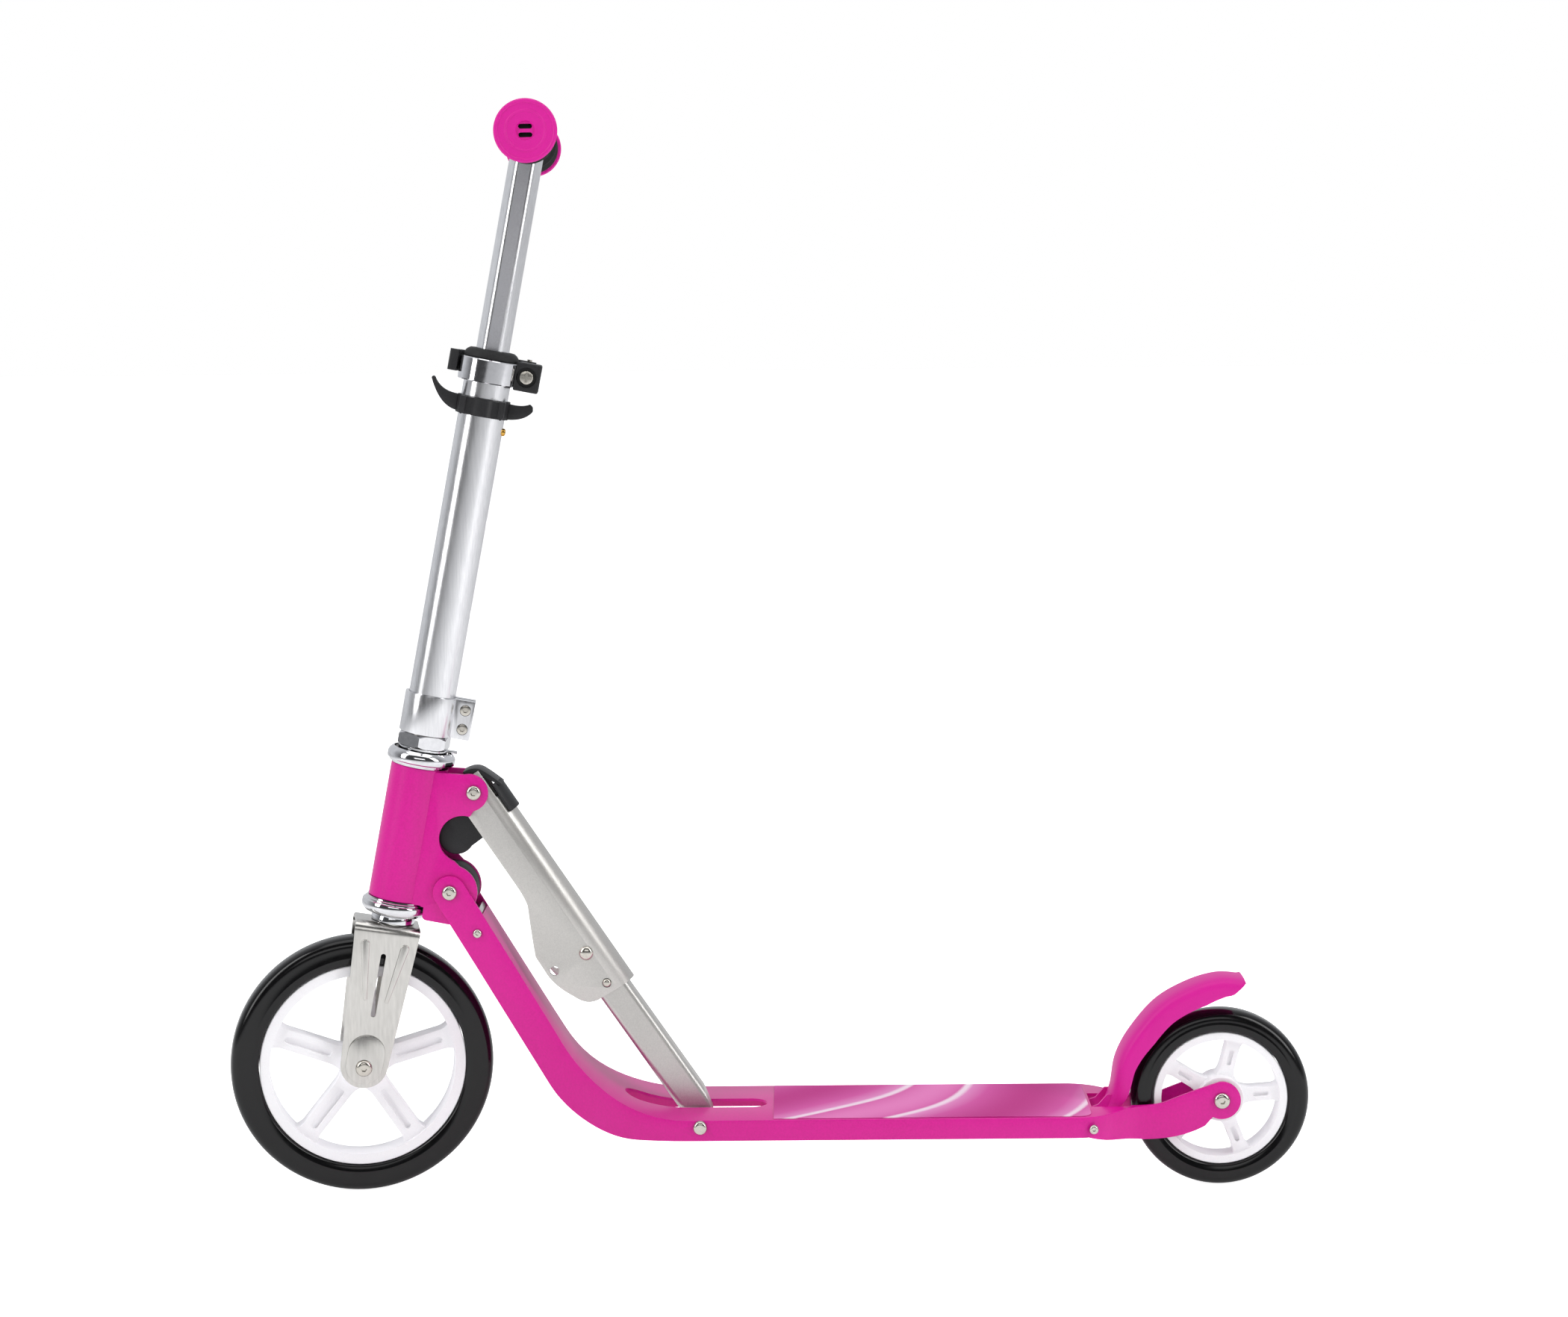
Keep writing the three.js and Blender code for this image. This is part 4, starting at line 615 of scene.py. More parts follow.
nut = trimmed(moved(pin(21.4, 255.5, 265.4, 6), turn(14, "Z")),
              turned([(0, 255.4), (19.2, 255.4), (21.5, 257), (21.5, 263.6), (19, 265.5), (0, 265.5)], 96))
nut = carved(nut, pin(14.6, 250, 270, 72))
done(nut, "hexagon_lock_nut", "lock_nut", "bright_chrome", matrix=FORK)

# %% [markdown]
# The column is a drawn tube with a row of height holes at the back. The collar at its foot is a split
# extrusion: a ring with two square ears pulled together by two socket screws.

# %% Column and collar
column = tube(15.6, 18.1, 266.8, 559.6, 96, edge=0.2)
holes = [moved(pin(3.4, 0, 24, 32), Matrix.Translation((0, 0, 506.3 - i * 71.7)) @ turn(90, "Y"))
         for i in range(3)]
column = carved(column, brick(0, 21, -1.2, 1.2, 533.8, 561), *holes)
done(column, "column", "column_tube", "satin_aluminium", matrix=COLUMN)
collar = welded(pin(20.8, 266.5, 297, 96), brick(15, 34, -8, 8, 266.5, 297))
collar = rounded(collar, 0.9, 3)
collar = carved(collar, pin(18.4, 260, 300, 96), brick(14, 36, -1.3, 1.3, 260, 300))
for height in (274.5, 289.4):
    collar = carved(collar, pin_at(27.4, height, 2.8, -9, 9, 32), pin_at(27.4, height, 4.4, -9, -4.5, 40))
done(collar, "foot_collar", "bottom_collar", "satin_aluminium", matrix=COLUMN)
for name, height in (("lower", 274.5), ("upper", 289.4)):
    head = carved(rounded(pin(4.1, -8.4, -4.8, 48, "Y"), 0.4, 2), pin(2, -9, -6.2, 6, "Y"))
    screw = shifted(welded(head, pin(2.5, -5, 7.6, 32, "Y")), 27.4, 0, height)
    done(screw, f"collar_screw_{name[:2]}", f"collar_screw_{name}", "fastener", matrix=COLUMN)

# %% [markdown]
# Near the top sit a sprung black clip with a horn fore and aft, which keeps the folded bar, and the
# quick clamp: a bright band, a black block with its screw, and the cam lever wrapped to the front.

# %% Clip
ring_r = 20.4
horn = outline((-19.4, 517), ("curve", (-33, 518), (-42.4, 538.6)), (-41.4, 539.8), (-39.8, 539.6),
               ("curve", (-34, 529), (-19.4, 529.5)))
tail = outline((19.4, 516.6), ("curve", (33, 517.6), (38.4, 526)), (37.8, 529.4), (35.4, 531.2),
               ("curve", (30, 527.6), (19.4, 528.6)))
clip = welded(pin(ring_r, 516, 530, 96), rounded(slab(horn, -5, 5), 0.7, 2), rounded(slab(tail, -5, 5), 0.7, 2))
for x in (-15.1, 15.1):
    fin = outline((x - 2.3, 530), (x - 2.3, 518.6), (x - 0.6, 516.2), (x + 0.6, 516.2), (x + 2.3, 518.6),
                  (x + 2.3, 530))
    clip = welded(clip, rounded(slab(fin, -29, -14.6), 0.5, 2))
clip = welded(clip, brick(-13.4, 13.4, -23.6, -17, 516.4, 529.6))
clip = carved(clip, pin(18.4, 510, 535, 96), shifted(pin(11, 510, 535, 64), 0, -31.5))
done(clip, "bar_clip", "column_clip", "black_plastic", matrix=COLUMN)

# %% Band, block, screw and lever
band = tube(18.4, 23.2, 541.8, 559.6, 96, edge=0.7)
band = carved(band, brick(15, 26, -1.6, 1.6, 540, 561))
done(band, "clamp_band_wrap", "clamp_band", "satin_aluminium", chrome, matrix=COLUMN)
block = rounded(brick(18.1, 39.6, -12, 12, 540.2, 562.2), 1.6, 3)
block = carved(block, pin(23.5, 535, 565, 96), pin_at(29, 551.2, 2.9, -13, 13, 32),
               pin_at(29, 551.2, 7.8, -13, -8.6, 64))
done(block, "clamp_housing", "clamp_block", "black_plastic", matrix=COLUMN)
screw_head = rounded(pin_at(29, 551.2, 5.2, -12.1, -9.2), 0.6, 3)
screw_head = carved(screw_head, brick(25.8, 32.2, -13, -10.6, 550.5, 551.9),
                    brick(28.3, 29.7, -13, -10.6, 548, 554.4))
done(welded(screw_head, pin_at(29, 551.2, 2.6, -9.4, 12, 32)), "clamp_cross_screw", "clamp_screw",
     "fastener", matrix=COLUMN)
wrap = outline(("arc", 0, 0, 27.2, 38, 172), ("curve", (-28.6, 4), (-31.4, 1.6)), (-31.8, -1),
               (-31.2, -3.4), (-29.4, -4), (-25, -4), ("arc", 0, 0, 24, 180, 38), step=4)
neck = outline((24 * math.cos(0.87), 24 * math.sin(0.87) + 0.5), (28, 15.4), (30, 23.2),
               (27.2 * math.cos(0.96), 27.2 * math.sin(0.96)))
lever = welded(plan(wrap, 546.6, 562.8), shifted(pin(5.4, 546.6, 562.8, 48), 29, 18.4),
               plan(neck, 546.6, 562.8))
lever = rounded(lever, 0.9, 3)
lever = carved(lever, shifted(pin(2.3, 540, 570, 32), 29, 18.4))
done(lever, "cam_lever", "clamp_lever", "black_plastic", matrix=COLUMN)

# %% [markdown]
# A soft bush closes the column and guides the six-sided stem. Its corners are rolled round, and its two flats that
# face the sides take a darker, rougher aluminium: the darker grey is painted shade, which gives a grey face between
# two bright edges.

# %% Bush, stem and bar
bush = turned([(0, 559.9), (20.3, 559.9), (21, 560.8), (21, 562.4), (20.4, 564), (19, 565.6),
               (17, 566.8), (15, 567), (0, 567)], 96)
bush = welded(bush, pin(15.3, 535.8, 560.5, 72))
bush = carved(bush, pin(14.1, 530, 570, 6))
done(bush, "column_end_bush", "column_bush", "black_rubber", matrix=COLUMN)


def hexagon(r, low, high, soft):
    bar = pin(r, low, high, 6)
    return rounded(bar, soft, 5, 40) if soft else bar


stem = carved(hexagon(13.7, 445, 721.6, 3.6), hexagon(11.7, 444, 714, 0),
              shifted(pin(11.3, -30, 30, 72, "Y"), 0, 0, 728.6),
              moved(pin(3.4, 0, 15, 32), Matrix.Translation((0, 0, 506.3)) @ turn(90, "Y")))
# painted shade: the flats facing the sides are picked out here and get the darker grey material below
shade_painted_flats = [face.index for face in stem.data.polygons if abs(face.normal.y) > 0.985]
done(stem, "hexagon_stem", "bar_stem", "satin_aluminium", matrix=COLUMN)
stem.data.materials.append(side_flat_shade_metal)
for index in shade_painted_flats:
    stem.data.polygons[index].material_index = 1
BAR = COLUMN @ Matrix.Translation((0, 0, 728.6))
done(tube(9, 11, -171.8, 171.8, 72, "Y"), "cross_bar", "crossbar", "satin_aluminium", matrix=BAR)
button = moved(turned([(0, 14), (3, 14), (3, 19), (2.7, 19.8), (1.8, 20.4), (0.8, 20.5), (0, 20.5)], 48),
               Matrix.Translation((0, 0, 506.3)) @ turn(90, "Y"))
done(button, "snap_button", "height_button", "brass_button", matrix=COLUMN)

# %% [markdown]
# Each grip is a soft sleeve with a flange at either end and fine rings round it, so the hand does not
# slip. The outer end is closed by a coloured cap with faint raised rings and two small slots one above the other.

# %% Grips and caps
near, far = 61.8, 173.8


def grip_piece():
    section = [(11.3, near), (19.4, near), (20, near + 0.6), (20, near + 2.4), (19.2, near + 3.4), (16, near + 5)]
    at = near + 8
    while at < far - 12:
        section += [(16, at), (15.4, at + 0.5), (15.4, at + 1.5), (16, at + 2)]
        at += 5
    section += [(16, far - 7), (19, far - 5), (20, far - 3.6), (20, far - 0.9), (19.4, far - 0.3), (11.3, far - 0.3)]
    return turned(section, 96, "Y")


def cap_piece():
    section = [(0, far - 14), (8.7, far - 14), (8.7, far), (21.6, far), (22.6, far + 1), (22.6, far + 3.2),
               (21.6, far + 4.3), (20.2, far + 4.4), (19.6, far + 3.9), (15, far + 3.9), (14.6, far + 4.2),
               (13.6, far + 4.2), (13.2, far + 3.9), (8, far + 3.9), (6.9, far + 4.2), (6.3, far + 3), (0, far + 3)]
    cap = turned([(r, h) for r, h in section], 96, "Y")
    for z in (-3, 3):
        key = outline(("arc", -3.2, 0, 1.7, 90, 270), ("arc", 3.2, 0, 1.7, -90, 90), step=15)
        cut = slab(key, far - 6, far + 6)
        cap = carved(cap, moved(cut, turn(12, "Y") @ Matrix.Translation((0, 0, z))))
    return cap


def slot_faces(cap):
    return [face.index for face in cap.data.polygons
            if math.hypot(face.center.x, face.center.z) < 6.2 and far - 8 < face.center.y < far + 2.8]



for name, way in (("left", turn(180, "X")), ("right", Matrix.Identity(4))):
    done(grip_piece(), f"hand_grip_{name}", f"grip_{name}", "black_rubber", matrix=BAR @ way)
    cap = cap_piece()
    # painted shade: the faces inside the two slots are coloured black below, for the shade in the recesses
    dark = slot_faces(cap)
    done(cap, f"bar_cap_{name}", f"end_cap_{name}", "pink_plastic", matrix=BAR @ way)
    cap.data.materials.append(black_moulding)
    for index in dark:
        cap.data.polygons[index].material_index = 1


# %% [markdown]
# The head bracket is the head tube with two plates welded along it. The plates run from the tube to an
# upper lobe, which holds the strut, and a lower lobe, which the deck's arm turns on, with a round
# notch between them. The edges of pressed plate are softened before the bores are cut.

# %% Head bracket
def on_head(r, h):
    a = math.radians(HEAD_TILT)
    x0, z0 = 4 * math.cos(a), 102.5 - 4 * math.sin(a)
    return (x0 + r * math.cos(a) + h * math.sin(a), z0 - r * math.sin(a) + h * math.cos(a))


HEAD_IN_SIDE = Matrix.Translation((*[on_head(0, 0)[0], 0], on_head(0, 0)[1])) @ turn(HEAD_TILT, "Y")
plate_side = outline(on_head(4, 238), (86.6, 332), ("arc", 89.6, 317.7, 14.7, 100, -78),
                     ("arc", 84, 281.3, 18.4, 72, 248), ("arc", *ARM, 21.2, 68, -62),
                     (72.3, 214.3), (53.9, 217.9), ("curve", (50.1, 219.1), on_head(23.4, 129)),
                     on_head(23.2, 133.5), on_head(4, 133.5), step=5)
head_tube = tube(19.5, 22.2, 134.5, 240.5, 120, edge=0.5)
head_bore = moved(pin(19.5, 120, 250, 96), HEAD_IN_SIDE)
bracket = welded(moved(head_tube, HEAD_IN_SIDE), rounded(slab(plate_side, -17.5, -14.5), 0.5, 2),
                 rounded(slab(plate_side, 14.5, 17.5), 0.5, 2))
bracket = carved(bracket, head_bore, pin_at(*ARM, 4.4, -30, 30), pin_at(*TOP, 4.3, -30, 30),
                 moved(pin(27.3, 104, 134.2, 96), HEAD_IN_SIDE))
done(bracket, "head_tube_and_plates", "head_bracket", "pink_metal", matrix=SIDE)
liner = rounded(pin_at(*ARM, 20.2, -14.2, 14.2, 96), 0.8, 2)
liner = carved(liner, pin_at(*ARM, 4.4, -30, 30), moved(pin(22.5, 120, 240, 96), HEAD_IN_SIDE))
done(liner, "pivot_liner", "bracket_liner", "black_rubber", matrix=SIDE)

# %% [markdown]
# The strut's upper half is a channel folded from sheet: a round back and two flat cheeks that swell
# round the knee. It is easiest as two drawings that are intersected, the folded section run along the
# strut's line, and the cheek's side outline. The lower half is a closed tube with a narrow foot.

# %% Strut directions
upper = math.dist(TOP, KNEE)
lower = math.dist(KNEE, FOOT)
channel_turn = math.degrees(math.atan2(KNEE[1] - TOP[1], KNEE[0] - TOP[0]))
tube_turn = math.degrees(math.atan2(FOOT[1] - KNEE[1], FOOT[0] - KNEE[0]))


def along(place, degrees):
    c, s = math.cos(math.radians(degrees)), math.sin(math.radians(degrees))
    return lambda u, v: (place[0] + c * u + s * v, place[1] + s * u - c * v)


def run_along(section, u0, u1, place, degrees):
    bar = moved(plan(section, u0, u1), turn(90, "Y"))
    return moved(bar, Matrix.Translation((place[0], 0, place[1])) @ turn(-degrees, "Y"))


on_channel = along(TOP, channel_turn)
print("strut halves", round(upper, 1), round(lower, 1))

# %% Strut channel
end = upper + 35.8
cheek = outline(on_channel(-12, -18.75), on_channel(end + 1.5, -18.75), on_channel(end, 12.6),
                ("curve", on_channel(end - 1, 23), on_channel(end - 13, 27.4)),
                ("curve", on_channel(end - 26, 34.4), on_channel(upper - 2, 34.8)),
                on_channel(upper - 19.5, 34.4),
                ("curve", on_channel(upper - 38, 26), on_channel(upper - 56, 16.6)),
                ("curve", on_channel(upper - 63, 14.6), on_channel(upper - 74, 14.6)),
                on_channel(10, 14.6), ("curve", on_channel(-6, 14), on_channel(-12, 4)))
wide, thin = 14.25, 12.15
folded = outline((38, wide), ("arc", -4.5, 0, wide, 90, 270), (38, -wide), (38, -thin),
                 ("arc", -4.5, 0, thin, 270, 90), (38, thin), step=6)
channel = trimmed(run_along(folded, -20, end + 9, TOP, channel_turn), slab(cheek, -20, 20))
channel = rounded(channel, 0.35, 2, 50)
opened = slab([on_channel(*p) for p in ((-30, -40), (13, -40), (13, -6), (4, 0), (-2, 0), (-30, -8))],
              -thin, thin)
top_cut = slab([on_channel(*p) for p in ((-30, -40), (9, -40), (-30, 12))], -20, 20)
button_at = on_channel(upper + 28.4, 0)
channel = carved(channel, opened, top_cut, pin_at(*TOP, 4.4, -30, 30), pin_at(*KNEE, 3.3, -30, 30),
                 pin_at(*button_at, 3.7, -30, 30), pin_at(153.23, 176.41, 3.7, -30, 30))
done(channel, "strut_upper_channel", "strut_channel", "satin_aluminium", strut_metal, matrix=SIDE)

# %% Strut tube
on_tube = along(KNEE, tube_turn)
tube_side = outline(("arc", *KNEE, 8.4, tube_turn + 90, tube_turn + 270), on_tube(13, 12.6),
                    on_tube(lower - 16, 12.6), ("arc", *FOOT, 8.6, tube_turn - 90, tube_turn + 90),
                    on_tube(lower - 16, -12.6), on_tube(13, -12.6))
section = outline(("arc", 7.6, 5.4, 5, 0, 90), ("arc", -7.6, 5.4, 5, 90, 180),
                  ("arc", -7.6, -5.4, 5, 180, 270), ("arc", 7.6, -5.4, 5, 270, 360), step=9)
print("tube outline points", len(tube_side))
strut_tube = trimmed(run_along(section, -20, lower + 20, KNEE, tube_turn), slab(tube_side, -20, 20))
hollow = [on_tube(*p) for p in ((14, 10.6), (lower - 18, 10.6), (lower + 20, 4), (lower + 20, -4),
                                (lower - 18, -10.6), (14, -10.6))]
strut_tube = carved(strut_tube, slab(hollow, -8.4, 8.4), pin_at(*FOOT, 3, -30, 30),
                    pin_at(*button_at, 5.3, -30, 30))
done(strut_tube, "strut_lower_tube", "strut_tube", "satin_aluminium", strut_metal, matrix=SIDE)

# %% Knee rivets and snap buttons
rivet = [(0, 10.7), (3, 10.7), (3, 14.55), (5.3, 14.55), (5.6, 14.9), (5.2, 15.6), (4.4, 16.4),
         (3.2, 17), (1.6, 17.35), (0, 17.45)]
snap = [(0, 10.7), (4.5, 10.7), (4.5, 11.6), (3.3, 11.6), (3.3, 14.6), (3, 15.2), (2.4, 15.8),
        (1.4, 16.1), (0, 16.15)]
for name, way in (("left", turn(180, "X")), ("right", Matrix.Identity(4))):
    at_knee = SIDE @ Matrix.Translation((KNEE[0], 0, KNEE[1])) @ way
    at_button = SIDE @ Matrix.Translation((button_at[0], 0, button_at[1])) @ way
    done(turned(rivet, 64, "Y"), f"knee_pin_{name}", f"knee_rivet_{name}", "fastener", matrix=at_knee)
    done(turned(snap, 48, "Y"), f"knee_snap_{name}", f"knee_button_{name}", "fastener",
         matrix=at_button)

# %% [markdown]
# The release lever is one black moulding: a round nose that fills the bracket's notch, a hooked neck
# over the top bolt, and a saddle-shaped thumb tab on the channel's back with a swollen lip.

# %% Release lever
inner = 11.25
nose = pin_at(*on_channel(21, 31.5), 14, -inner, inner, 96)
web = slab([on_channel(*p) for p in ((-9, -2), (-6, 8), (8, 12), (7.6, 30), (34, 30), (33, 8),
                                     (14, 2), (9, -6))], -inner, inner)
neck = slab(outline(on_channel(-8.6, -1), on_channel(-17.6, -1),
                    ("curve", on_channel(-17, -11), on_channel(-10.6, -14.4)),
                    ("curve", on_channel(-4, -17.6), on_channel(7, -21)), on_channel(7, -19.2),
                    ("curve", on_channel(-4, -14), on_channel(-6, -8))), -inner, inner)
saddle = run_along(outline(("arc", -4.5, 0, 17.25, 128, 232), ("arc", -4.5, 0, 14.75, 232, 128), step=5),
                   3, 28.4, TOP, channel_turn)
release = welded(rounded(nose, 0.8, 3, 45), rounded(web, 0.4, 2, 45), rounded(neck, 0.4, 2, 45))
release = welded(release, rounded(saddle, 0.7, 3, 45))
release = carved(release, pin_at(*TOP, 4.4, -30, 30))
done(release, "thumb_lever", "release_lever", "black_plastic", matrix=SIDE)

# %% [markdown]
# The deck is one pressed sheet: a flat walking surface with turned-down sides that sweeps up into the
# two cheeks of the arm and runs back into two ears for the wheel. The side view and the plan view are
# intersected, its outer edges are rounded, and then the same shape, a sheet's thickness smaller, is
# taken out from below.

# %% Deck outlines
ARM_TURN = 59.2
arm_c, arm_s = math.cos(math.radians(ARM_TURN)), math.sin(math.radians(ARM_TURN))


def on_arm(s, n):
    return (ARM[0] + arm_c * s + arm_s * n, ARM[1] - arm_s * s + arm_c * n)


def arm_meets(n, z):
    x, top = on_arm(0, n)
    return x + (top - z) / arm_s * arm_c


def deck_side(inset):
    n, top, bend = 12.95 - inset, 66.5 - inset, 113 + inset
    reach = math.tan(math.radians(ARM_TURN / 2))
    low = 10.3 if inset else 50.3
    low_x = arm_meets(-12.95, low) + 80 * reach
    top_x = arm_meets(n, top) + bend * reach
    w = WHEELBASE
    tail = [(w + 60, low), (w + 60, top)] if inset else [
        (w - 107, 50.3), ("curve", (w - 83, 43), (w - 61, 40)), ("curve", (w - 33, 39), (w - 13, 50)),
        ("arc", w, 70, 14.8, -118, 96), ("curve", (w - 23, 78), (w - 45, 69)),
        ("curve", (w - 53, top), (w - 67, top))]
    return outline(("arc", *ARM, n, 90 - ARM_TURN, 270 - ARM_TURN),
                   ("arc", low_x, low + 80, 80, 270 - ARM_TURN, 270), *tail,
                   ("arc", top_x, top + bend, bend, 270, 270 - ARM_TURN), step=4)


def deck_plan(inset):
    half, arm, ear, wide, w = 54 - inset, 21 - inset, 19 - inset, 24 - inset, WHEELBASE
    edge = outline((40, -arm), (93.3, -arm), (150, -wide),
                   ("curve", (192, -wide - 4), (196, -half), (262, -half)), (w - 117, -half),
                   ("curve", (w - 83, -half), (w - 85, -ear), (w - 51, -ear)), (w + 40, -ear))
    return edge + [(x, -y) for x, y in reversed(edge)]


# %% Deck shell
deck = trimmed(slab(deck_side(0), -55, 55), plan(deck_plan(0), 0, 300))
deck = rounded(deck, 1.4, 3, 40)
inside = trimmed(slab(deck_side(2), -55, 55), plan(deck_plan(2), 0, 300))
slot = outline(("arc", 219.4, 0, 13.4, 90, 270), ("arc", 304.6, 0, 13.4, -90, 90))
web_open = slab([on_arm(-30, -40), on_arm(28, -40), on_arm(28, 40), on_arm(-30, 40)], -19, 19)
w = WHEELBASE
deck = carved(deck, inside, plan(slot, 40, 110), web_open, brick(w - 102, w - 71, -21, 21, 56.5, 75.5),
              brick(w - 81, w + 60, -16.5, 16.5, 20, 120), pin_at(*ARM, 4.3, -40, 40),
              pin_at(*FOOT, 2.9, -60, 60), pin_at(*BRAKE, 2.9, -60, 60),
              pin_at(*on_arm(38.4, 1.6), 2.5, -40, 40), pin_at(w, 70, 4.3, -40, 40))
only(deck)
bpy.ops.object.mode_set(mode="EDIT")
bpy.ops.mesh.select_all(action="SELECT")
bpy.ops.mesh.remove_doubles(threshold=0.02)
bpy.ops.object.mode_set(mode="OBJECT")
done(deck, "pressed_deck", "deck", "pink_metal", smooth=28, matrix=SIDE)

# %% [markdown]
# The grip sheet carries a soft abstract print: flowing bands that fade from magenta in the middle to
# pale pink at the ends, with a few white lines, over a grit that is felt through the shoe. Waves that
# are bent by noise give bands with no lettering in them.

# %% Printed grit
printed = finish("printed grit", tone(196, 60, 150), tone(232, 150, 200), 0, 0.62, 1800,
                 relief=0.9, depth=0.00012, rough_spread=0.12)
tree = printed.node_tree
shader = tree.nodes["Principled BSDF"]
place = tree.nodes.new("ShaderNodeTexCoord")
spread = tree.nodes.new("ShaderNodeMapping")
spread.inputs["Rotation"].default_value = (0, 0, 0.5)
spread.inputs["Scale"].default_value = (1, 1, 0)
tree.links.new(place.outputs["Object"], spread.inputs["Vector"])
bands = tree.nodes.new("ShaderNodeTexWave")
bands.inputs["Scale"].default_value = 2.2
bands.inputs["Distortion"].default_value = 5
bands.inputs["Detail"].default_value = 1
tree.links.new(spread.outputs["Vector"], bands.inputs["Vector"])
inks = tree.nodes.new("ShaderNodeValToRGB")
inks.color_ramp.elements[0].color = (*tone(186, 30, 130), 1)
inks.color_ramp.elements[1].color = (*tone(226, 120, 186), 1)
for at, ink in ((0.45, (206, 74, 158)), (0.72, (222, 130, 190)), (0.78, (240, 214, 230)),
                (0.82, (240, 214, 230)), (0.86, (214, 92, 168))):
    inks.color_ramp.elements.new(at).color = (*tone(*ink), 1)
tree.links.new(bands.outputs["Fac"], inks.inputs["Fac"])
tree.links.new(inks.outputs["Color"], shader.inputs["Base Color"])

# %% Grip sheet
edge = outline((323, -51), (557, -51), ("curve", (569, -51), (569, -39)))
sheet = edge + [(x, -y) for x, y in reversed(edge)]
grit = rounded(plan(sheet, 66.6, 67.3), 0.2, 1)
done(grit, "grip_sheet", "grip_tape", "grip_print", printed, matrix=SIDE)
done(cross_bolt(*on_arm(38.4, 1.6), 2.2, 3.6, 21.3, 2.2), "arm_cross_rivet", "arm_rivet", "fastener",
     matrix=SIDE)
stop = rounded(slab([on_arm(22.8, -4), on_arm(27.7, -4), on_arm(27.7, 11.95), on_arm(22.8, 11.95)],
                    -18.7, 18.7), 0.6, 2)
done(stop, "arm_stop", "fold_stop", "stamped_steel", matrix=SIDE)

# %% [markdown]
# The fender is the foot brake: a thin hood that springs from a narrow neck and widens over the wheel, with
# turned-down sides. It begins as a grid of faces. The grid's rows are set along the fender's spine, Solidify gives
# the wall its thickness, and a bevel softens its edges.

# %% Fender hood
spine = [(w - 92, 62), (w - 85.6, 78), (w - 81.4, 100.8), (w - 70.4, 122), (w - 49.8, 145.9),
         (w - 24.1, 160.6), (w - 1, 167), (w + 17.6, 165.6)]


def spine_at(t):
    i = min(int(t * 7), 6)
    s = t * 7 - i
    p = [spine[max(i - 1, 0)], spine[i], spine[i + 1], spine[min(i + 2, 7)]]
    place, way = [], []
    for k in (0, 1):
        a, b, c, d = (q[k] for q in p)
        v0, v1 = (c - a) * 0.5, (d - b) * 0.5
        place.append((2 * b - 2 * c + v0 + v1) * s**3 + (-3 * b + 3 * c - 2 * v0 - v1) * s**2 + v0 * s + b)
        way.append(3 * (2 * b - 2 * c + v0 + v1) * s**2 + 2 * (-3 * b + 3 * c - 2 * v0 - v1) * s + v0)
    long = math.hypot(*way)
    return place, (way[0] / long, way[1] / long)


def depth_at(t):
    if t < 0.12:
        return 6 + 55 * t
    if t < 0.45:
        return 12.6 + 16 * (t - 0.12)
    return 17.9 - 25 * max(0, t - 0.75) - 115 * max(0, t - 0.93)


ROWS, COLS = 48, 20
clear()
bpy.ops.mesh.primitive_grid_add(x_subdivisions=COLS, y_subdivisions=ROWS, size=1)
hood = bpy.context.active_object
for row in range(ROWS + 1):
    t = row / ROWS
    (px, pz), (wx, wz) = spine_at(t)
    half = 14 + 5.5 * min(t / 0.2, 1)
    depth = depth_at(t)
    crown = min(8, depth - 1)
    for col in range(COLS + 1):
        s = col / COLS
        if s < 0.15 or s > 0.85:
            share = s / 0.15 if s < 0.15 else (1 - s) / 0.15
            y, down = (-half if s < 0.5 else half), depth + (crown - depth) * share
        else:
            a = math.pi * (s - 0.15) / 0.7
            y = -math.copysign(abs(math.cos(a)) ** 0.7, math.cos(a)) * half
            down = crown * (1 - math.sin(a) ** 0.7)
        hood.data.vertices[row * (COLS + 1) + col].co = (px + wz * down, y, pz - wx * down)
only(hood)
bpy.ops.object.mode_set(mode="EDIT")
bpy.ops.mesh.select_all(action="SELECT")
bpy.ops.mesh.normals_make_consistent(inside=False)
bpy.ops.object.mode_set(mode="OBJECT")
top = max(hood.data.polygons, key=lambda face: face.center.z)
if top.normal.z < 0:
    bpy.ops.object.mode_set(mode="EDIT")
    bpy.ops.mesh.select_all(action="SELECT")
    bpy.ops.mesh.flip_normals()
    bpy.ops.object.mode_set(mode="OBJECT")
wall = hood.modifiers.new("wall", "SOLIDIFY")
wall.thickness, wall.offset = 2.4, -1
bpy.ops.object.modifier_apply(modifier=wall.name)
hood = rounded(hood, 0.6, 2, 60)
arm_side = [(BRAKE[0] - 6, 52.4), (BRAKE[0] + 7, 52.4), (w - 83, 66), (w - 79, 74), (w - 89, 74),
            (w - 96, 66), (BRAKE[0] - 6, 61.4)]
hood = welded(hood, slab(arm_side, -13, -10), slab(arm_side, 10, 13))
hood = carved(hood, pin_at(*BRAKE, 3, -30, 30))
done(hood, "foot_brake_fender", "brake_fender", "pink_plastic", smooth=40, matrix=SIDE)


# %% [markdown]
# The pieces whose plain solids are already right, such as bearings and spacers, stay as they are and
# only take a finish. Their material slot is read from the record, so nothing is left bare.

# %% Finish what stays
node_slot = {part["node"]: part["material_slot"] for part in frame["record"]["subparts"]}
hidden = {n for piece in bpy.data.objects for n in piece.get("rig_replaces", [])}
steel_words = ("bearing", "race", "cup", "nut")
for name, node in frame["nodes"].items():
    if name in hidden:
        continue
    slot = node_slot.get(name)
    material = slot_finish.get(slot)
    if material is None:
        words = name.split("_")
        material = chrome if any(w in steel_words for w in words) else nickel
    node.data.materials.clear()
    node.data.materials.append(material)
print("solids kept:", sorted(set(frame["nodes"]) - hidden))

# %% [markdown]
# The studio is a pale floor with big soft lamps, one each side and one above, so that the tubes get a
# bright band at each flank with a darker one between. The room is white behind and dark in front.

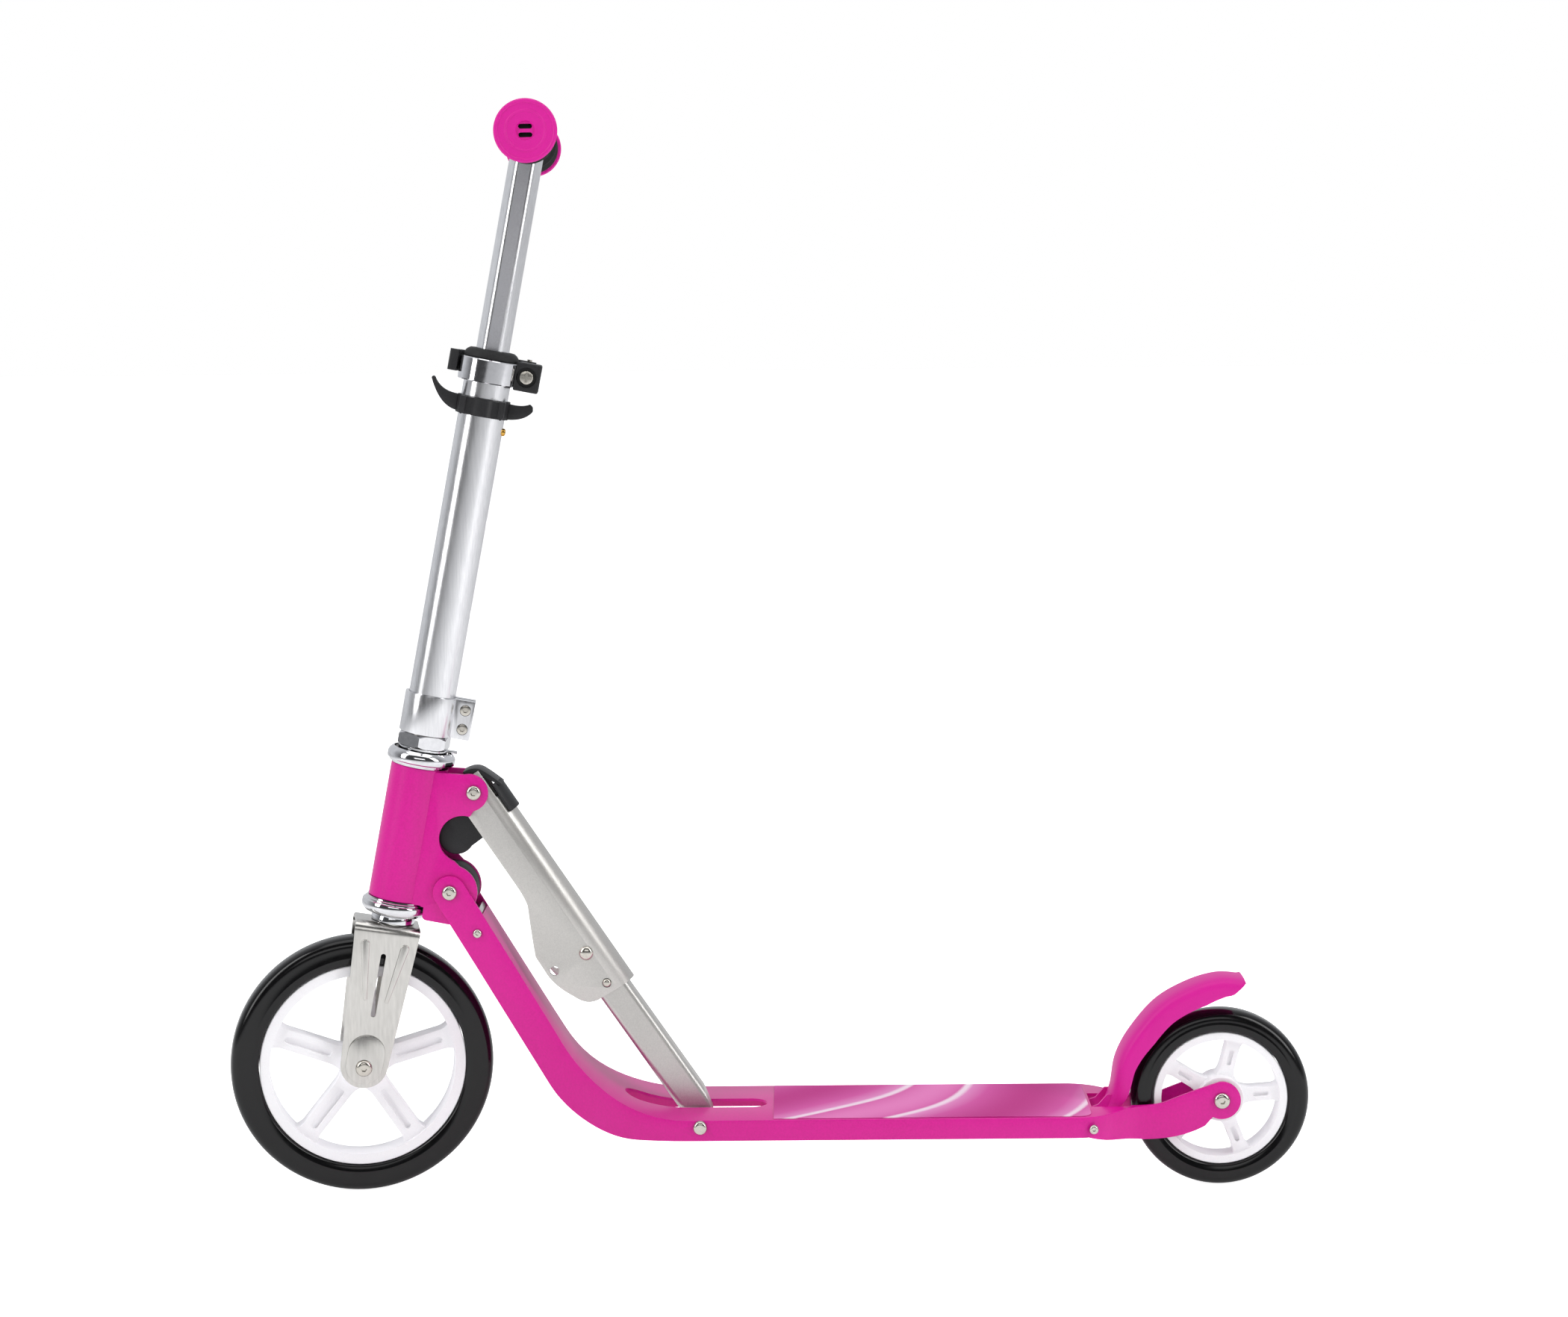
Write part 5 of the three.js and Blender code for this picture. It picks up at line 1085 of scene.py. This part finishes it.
# %% Floor
clear()
bpy.ops.mesh.primitive_plane_add(size=60, location=(0, 0, solid_box[0][2] - 0.0005))
floor = bpy.context.active_object
floor.name = "studio_floor"
floor_paint = bpy.data.materials.new("studio floor")
floor_paint.use_nodes = True
floor_shader = floor_paint.node_tree.nodes["Principled BSDF"]
floor_shader.inputs["Base Color"].default_value = (0.95, 0.95, 0.95, 1)
floor_shader.inputs["Roughness"].default_value = 0.9
floor_shader.inputs["Emission Color"].default_value = (1, 1, 1, 1)
ray = floor_paint.node_tree.nodes.new("ShaderNodeLightPath")
glow = floor_paint.node_tree.nodes.new("ShaderNodeMapRange")
glow.inputs["To Min"].default_value = 0.2
glow.inputs["To Max"].default_value = 0.9
floor_paint.node_tree.links.new(ray.outputs["Is Camera Ray"], glow.inputs["Value"])
floor_paint.node_tree.links.new(glow.outputs["Result"], floor_shader.inputs["Emission Strength"])
floor.data.materials.append(floor_paint)


# %% Soft lamps
def soft_lamp(name, place, target, width, height, power):
    clear()
    bpy.ops.object.light_add(type="AREA", location=place)
    lamp = bpy.context.active_object
    lamp.name = name
    lamp.data.shape, lamp.data.size, lamp.data.size_y = "RECTANGLE", width, height
    lamp.data.energy = power
    way = Vector(target) - Vector(place)
    lamp.rotation_euler = way.to_track_quat("-Z", "Y").to_euler()
    return lamp


soft_lamp("lamp_left", (-1.9, -1.1, 1.5), (-0.1, 0, 0.35), 0.7, 2.2, 25)
soft_lamp("lamp_right", (1.9, -1.1, 1.5), (0, 0, 0.3), 0.7, 2.2, 25)
soft_lamp("lamp_top", (0, -0.5, 2.6), (0, 0, 0.2), 2.4, 1.4, 17)
soft_lamp("lamp_front", (0, -3.2, 1.6), (0, 0, 0.3), 2.2, 1.0, 11)

# %% The room that the metals reflect
world = bpy.data.worlds.new("studio room")
bpy.context.scene.world = world
world.use_nodes = True
tree = world.node_tree
tree.nodes.clear()
out = tree.nodes.new("ShaderNodeOutputWorld")
mix = tree.nodes.new("ShaderNodeMixShader")
seen = tree.nodes.new("ShaderNodeBackground")
seen.inputs["Color"].default_value = (1, 1, 1, 1)
seen.inputs["Strength"].default_value = 1.0
room = tree.nodes.new("ShaderNodeBackground")
room.inputs["Color"].default_value = (0.9, 0.92, 0.95, 1)
around = tree.nodes.new("ShaderNodeTexCoord")
split = tree.nodes.new("ShaderNodeSeparateXYZ")
fade = tree.nodes.new("ShaderNodeMapRange")
fade.inputs["From Min"].default_value = -0.45
fade.inputs["From Max"].default_value = 0.35
fade.inputs["To Min"].default_value = 0.07
fade.inputs["To Max"].default_value = 0.8
tree.links.new(around.outputs["Generated"], split.inputs["Vector"])
tree.links.new(split.outputs["Y"], fade.inputs["Value"])
tree.links.new(fade.outputs["Result"], room.inputs["Strength"])
path = tree.nodes.new("ShaderNodeLightPath")
tree.links.new(path.outputs["Is Camera Ray"], mix.inputs["Fac"])
tree.links.new(room.outputs["Background"], mix.inputs[1])
tree.links.new(seen.outputs["Background"], mix.inputs[2])
tree.links.new(mix.outputs["Shader"], out.inputs["Surface"])

# %% [markdown]
# The camera stands square to the scooter's side, a little above the deck and looking slightly down.
# A long lens keeps the two wheels the same size.

# %% Camera
bpy.context.scene.view_settings.view_transform = "Standard"
yaw, pitch, roll = -0.00357, 0.11275, -0.00896
ahead = Vector((math.sin(yaw) * math.cos(pitch), math.cos(yaw) * math.cos(pitch), -math.sin(pitch)))
right = ahead.cross(Vector((0, 0, 1))).normalized()
up = right.cross(ahead)
right_rolled = right * math.cos(roll) + up * math.sin(roll)
up_rolled = up * math.cos(roll) - right * math.sin(roll)
lens = bpy.data.cameras.new("side view")
lens.lens, lens.sensor_width = 72.1, 36
camera = bpy.data.objects.new("side view", lens)
bpy.context.scene.collection.objects.link(camera)
camera.matrix_world = Matrix((
    (right_rolled.x, up_rolled.x, -ahead.x, 0.02242),
    (right_rolled.y, up_rolled.y, -ahead.y, -2.41754),
    (right_rolled.z, up_rolled.z, -ahead.z, 0.69204),
    (0, 0, 0, 1),
))
bpy.context.scene.camera = camera
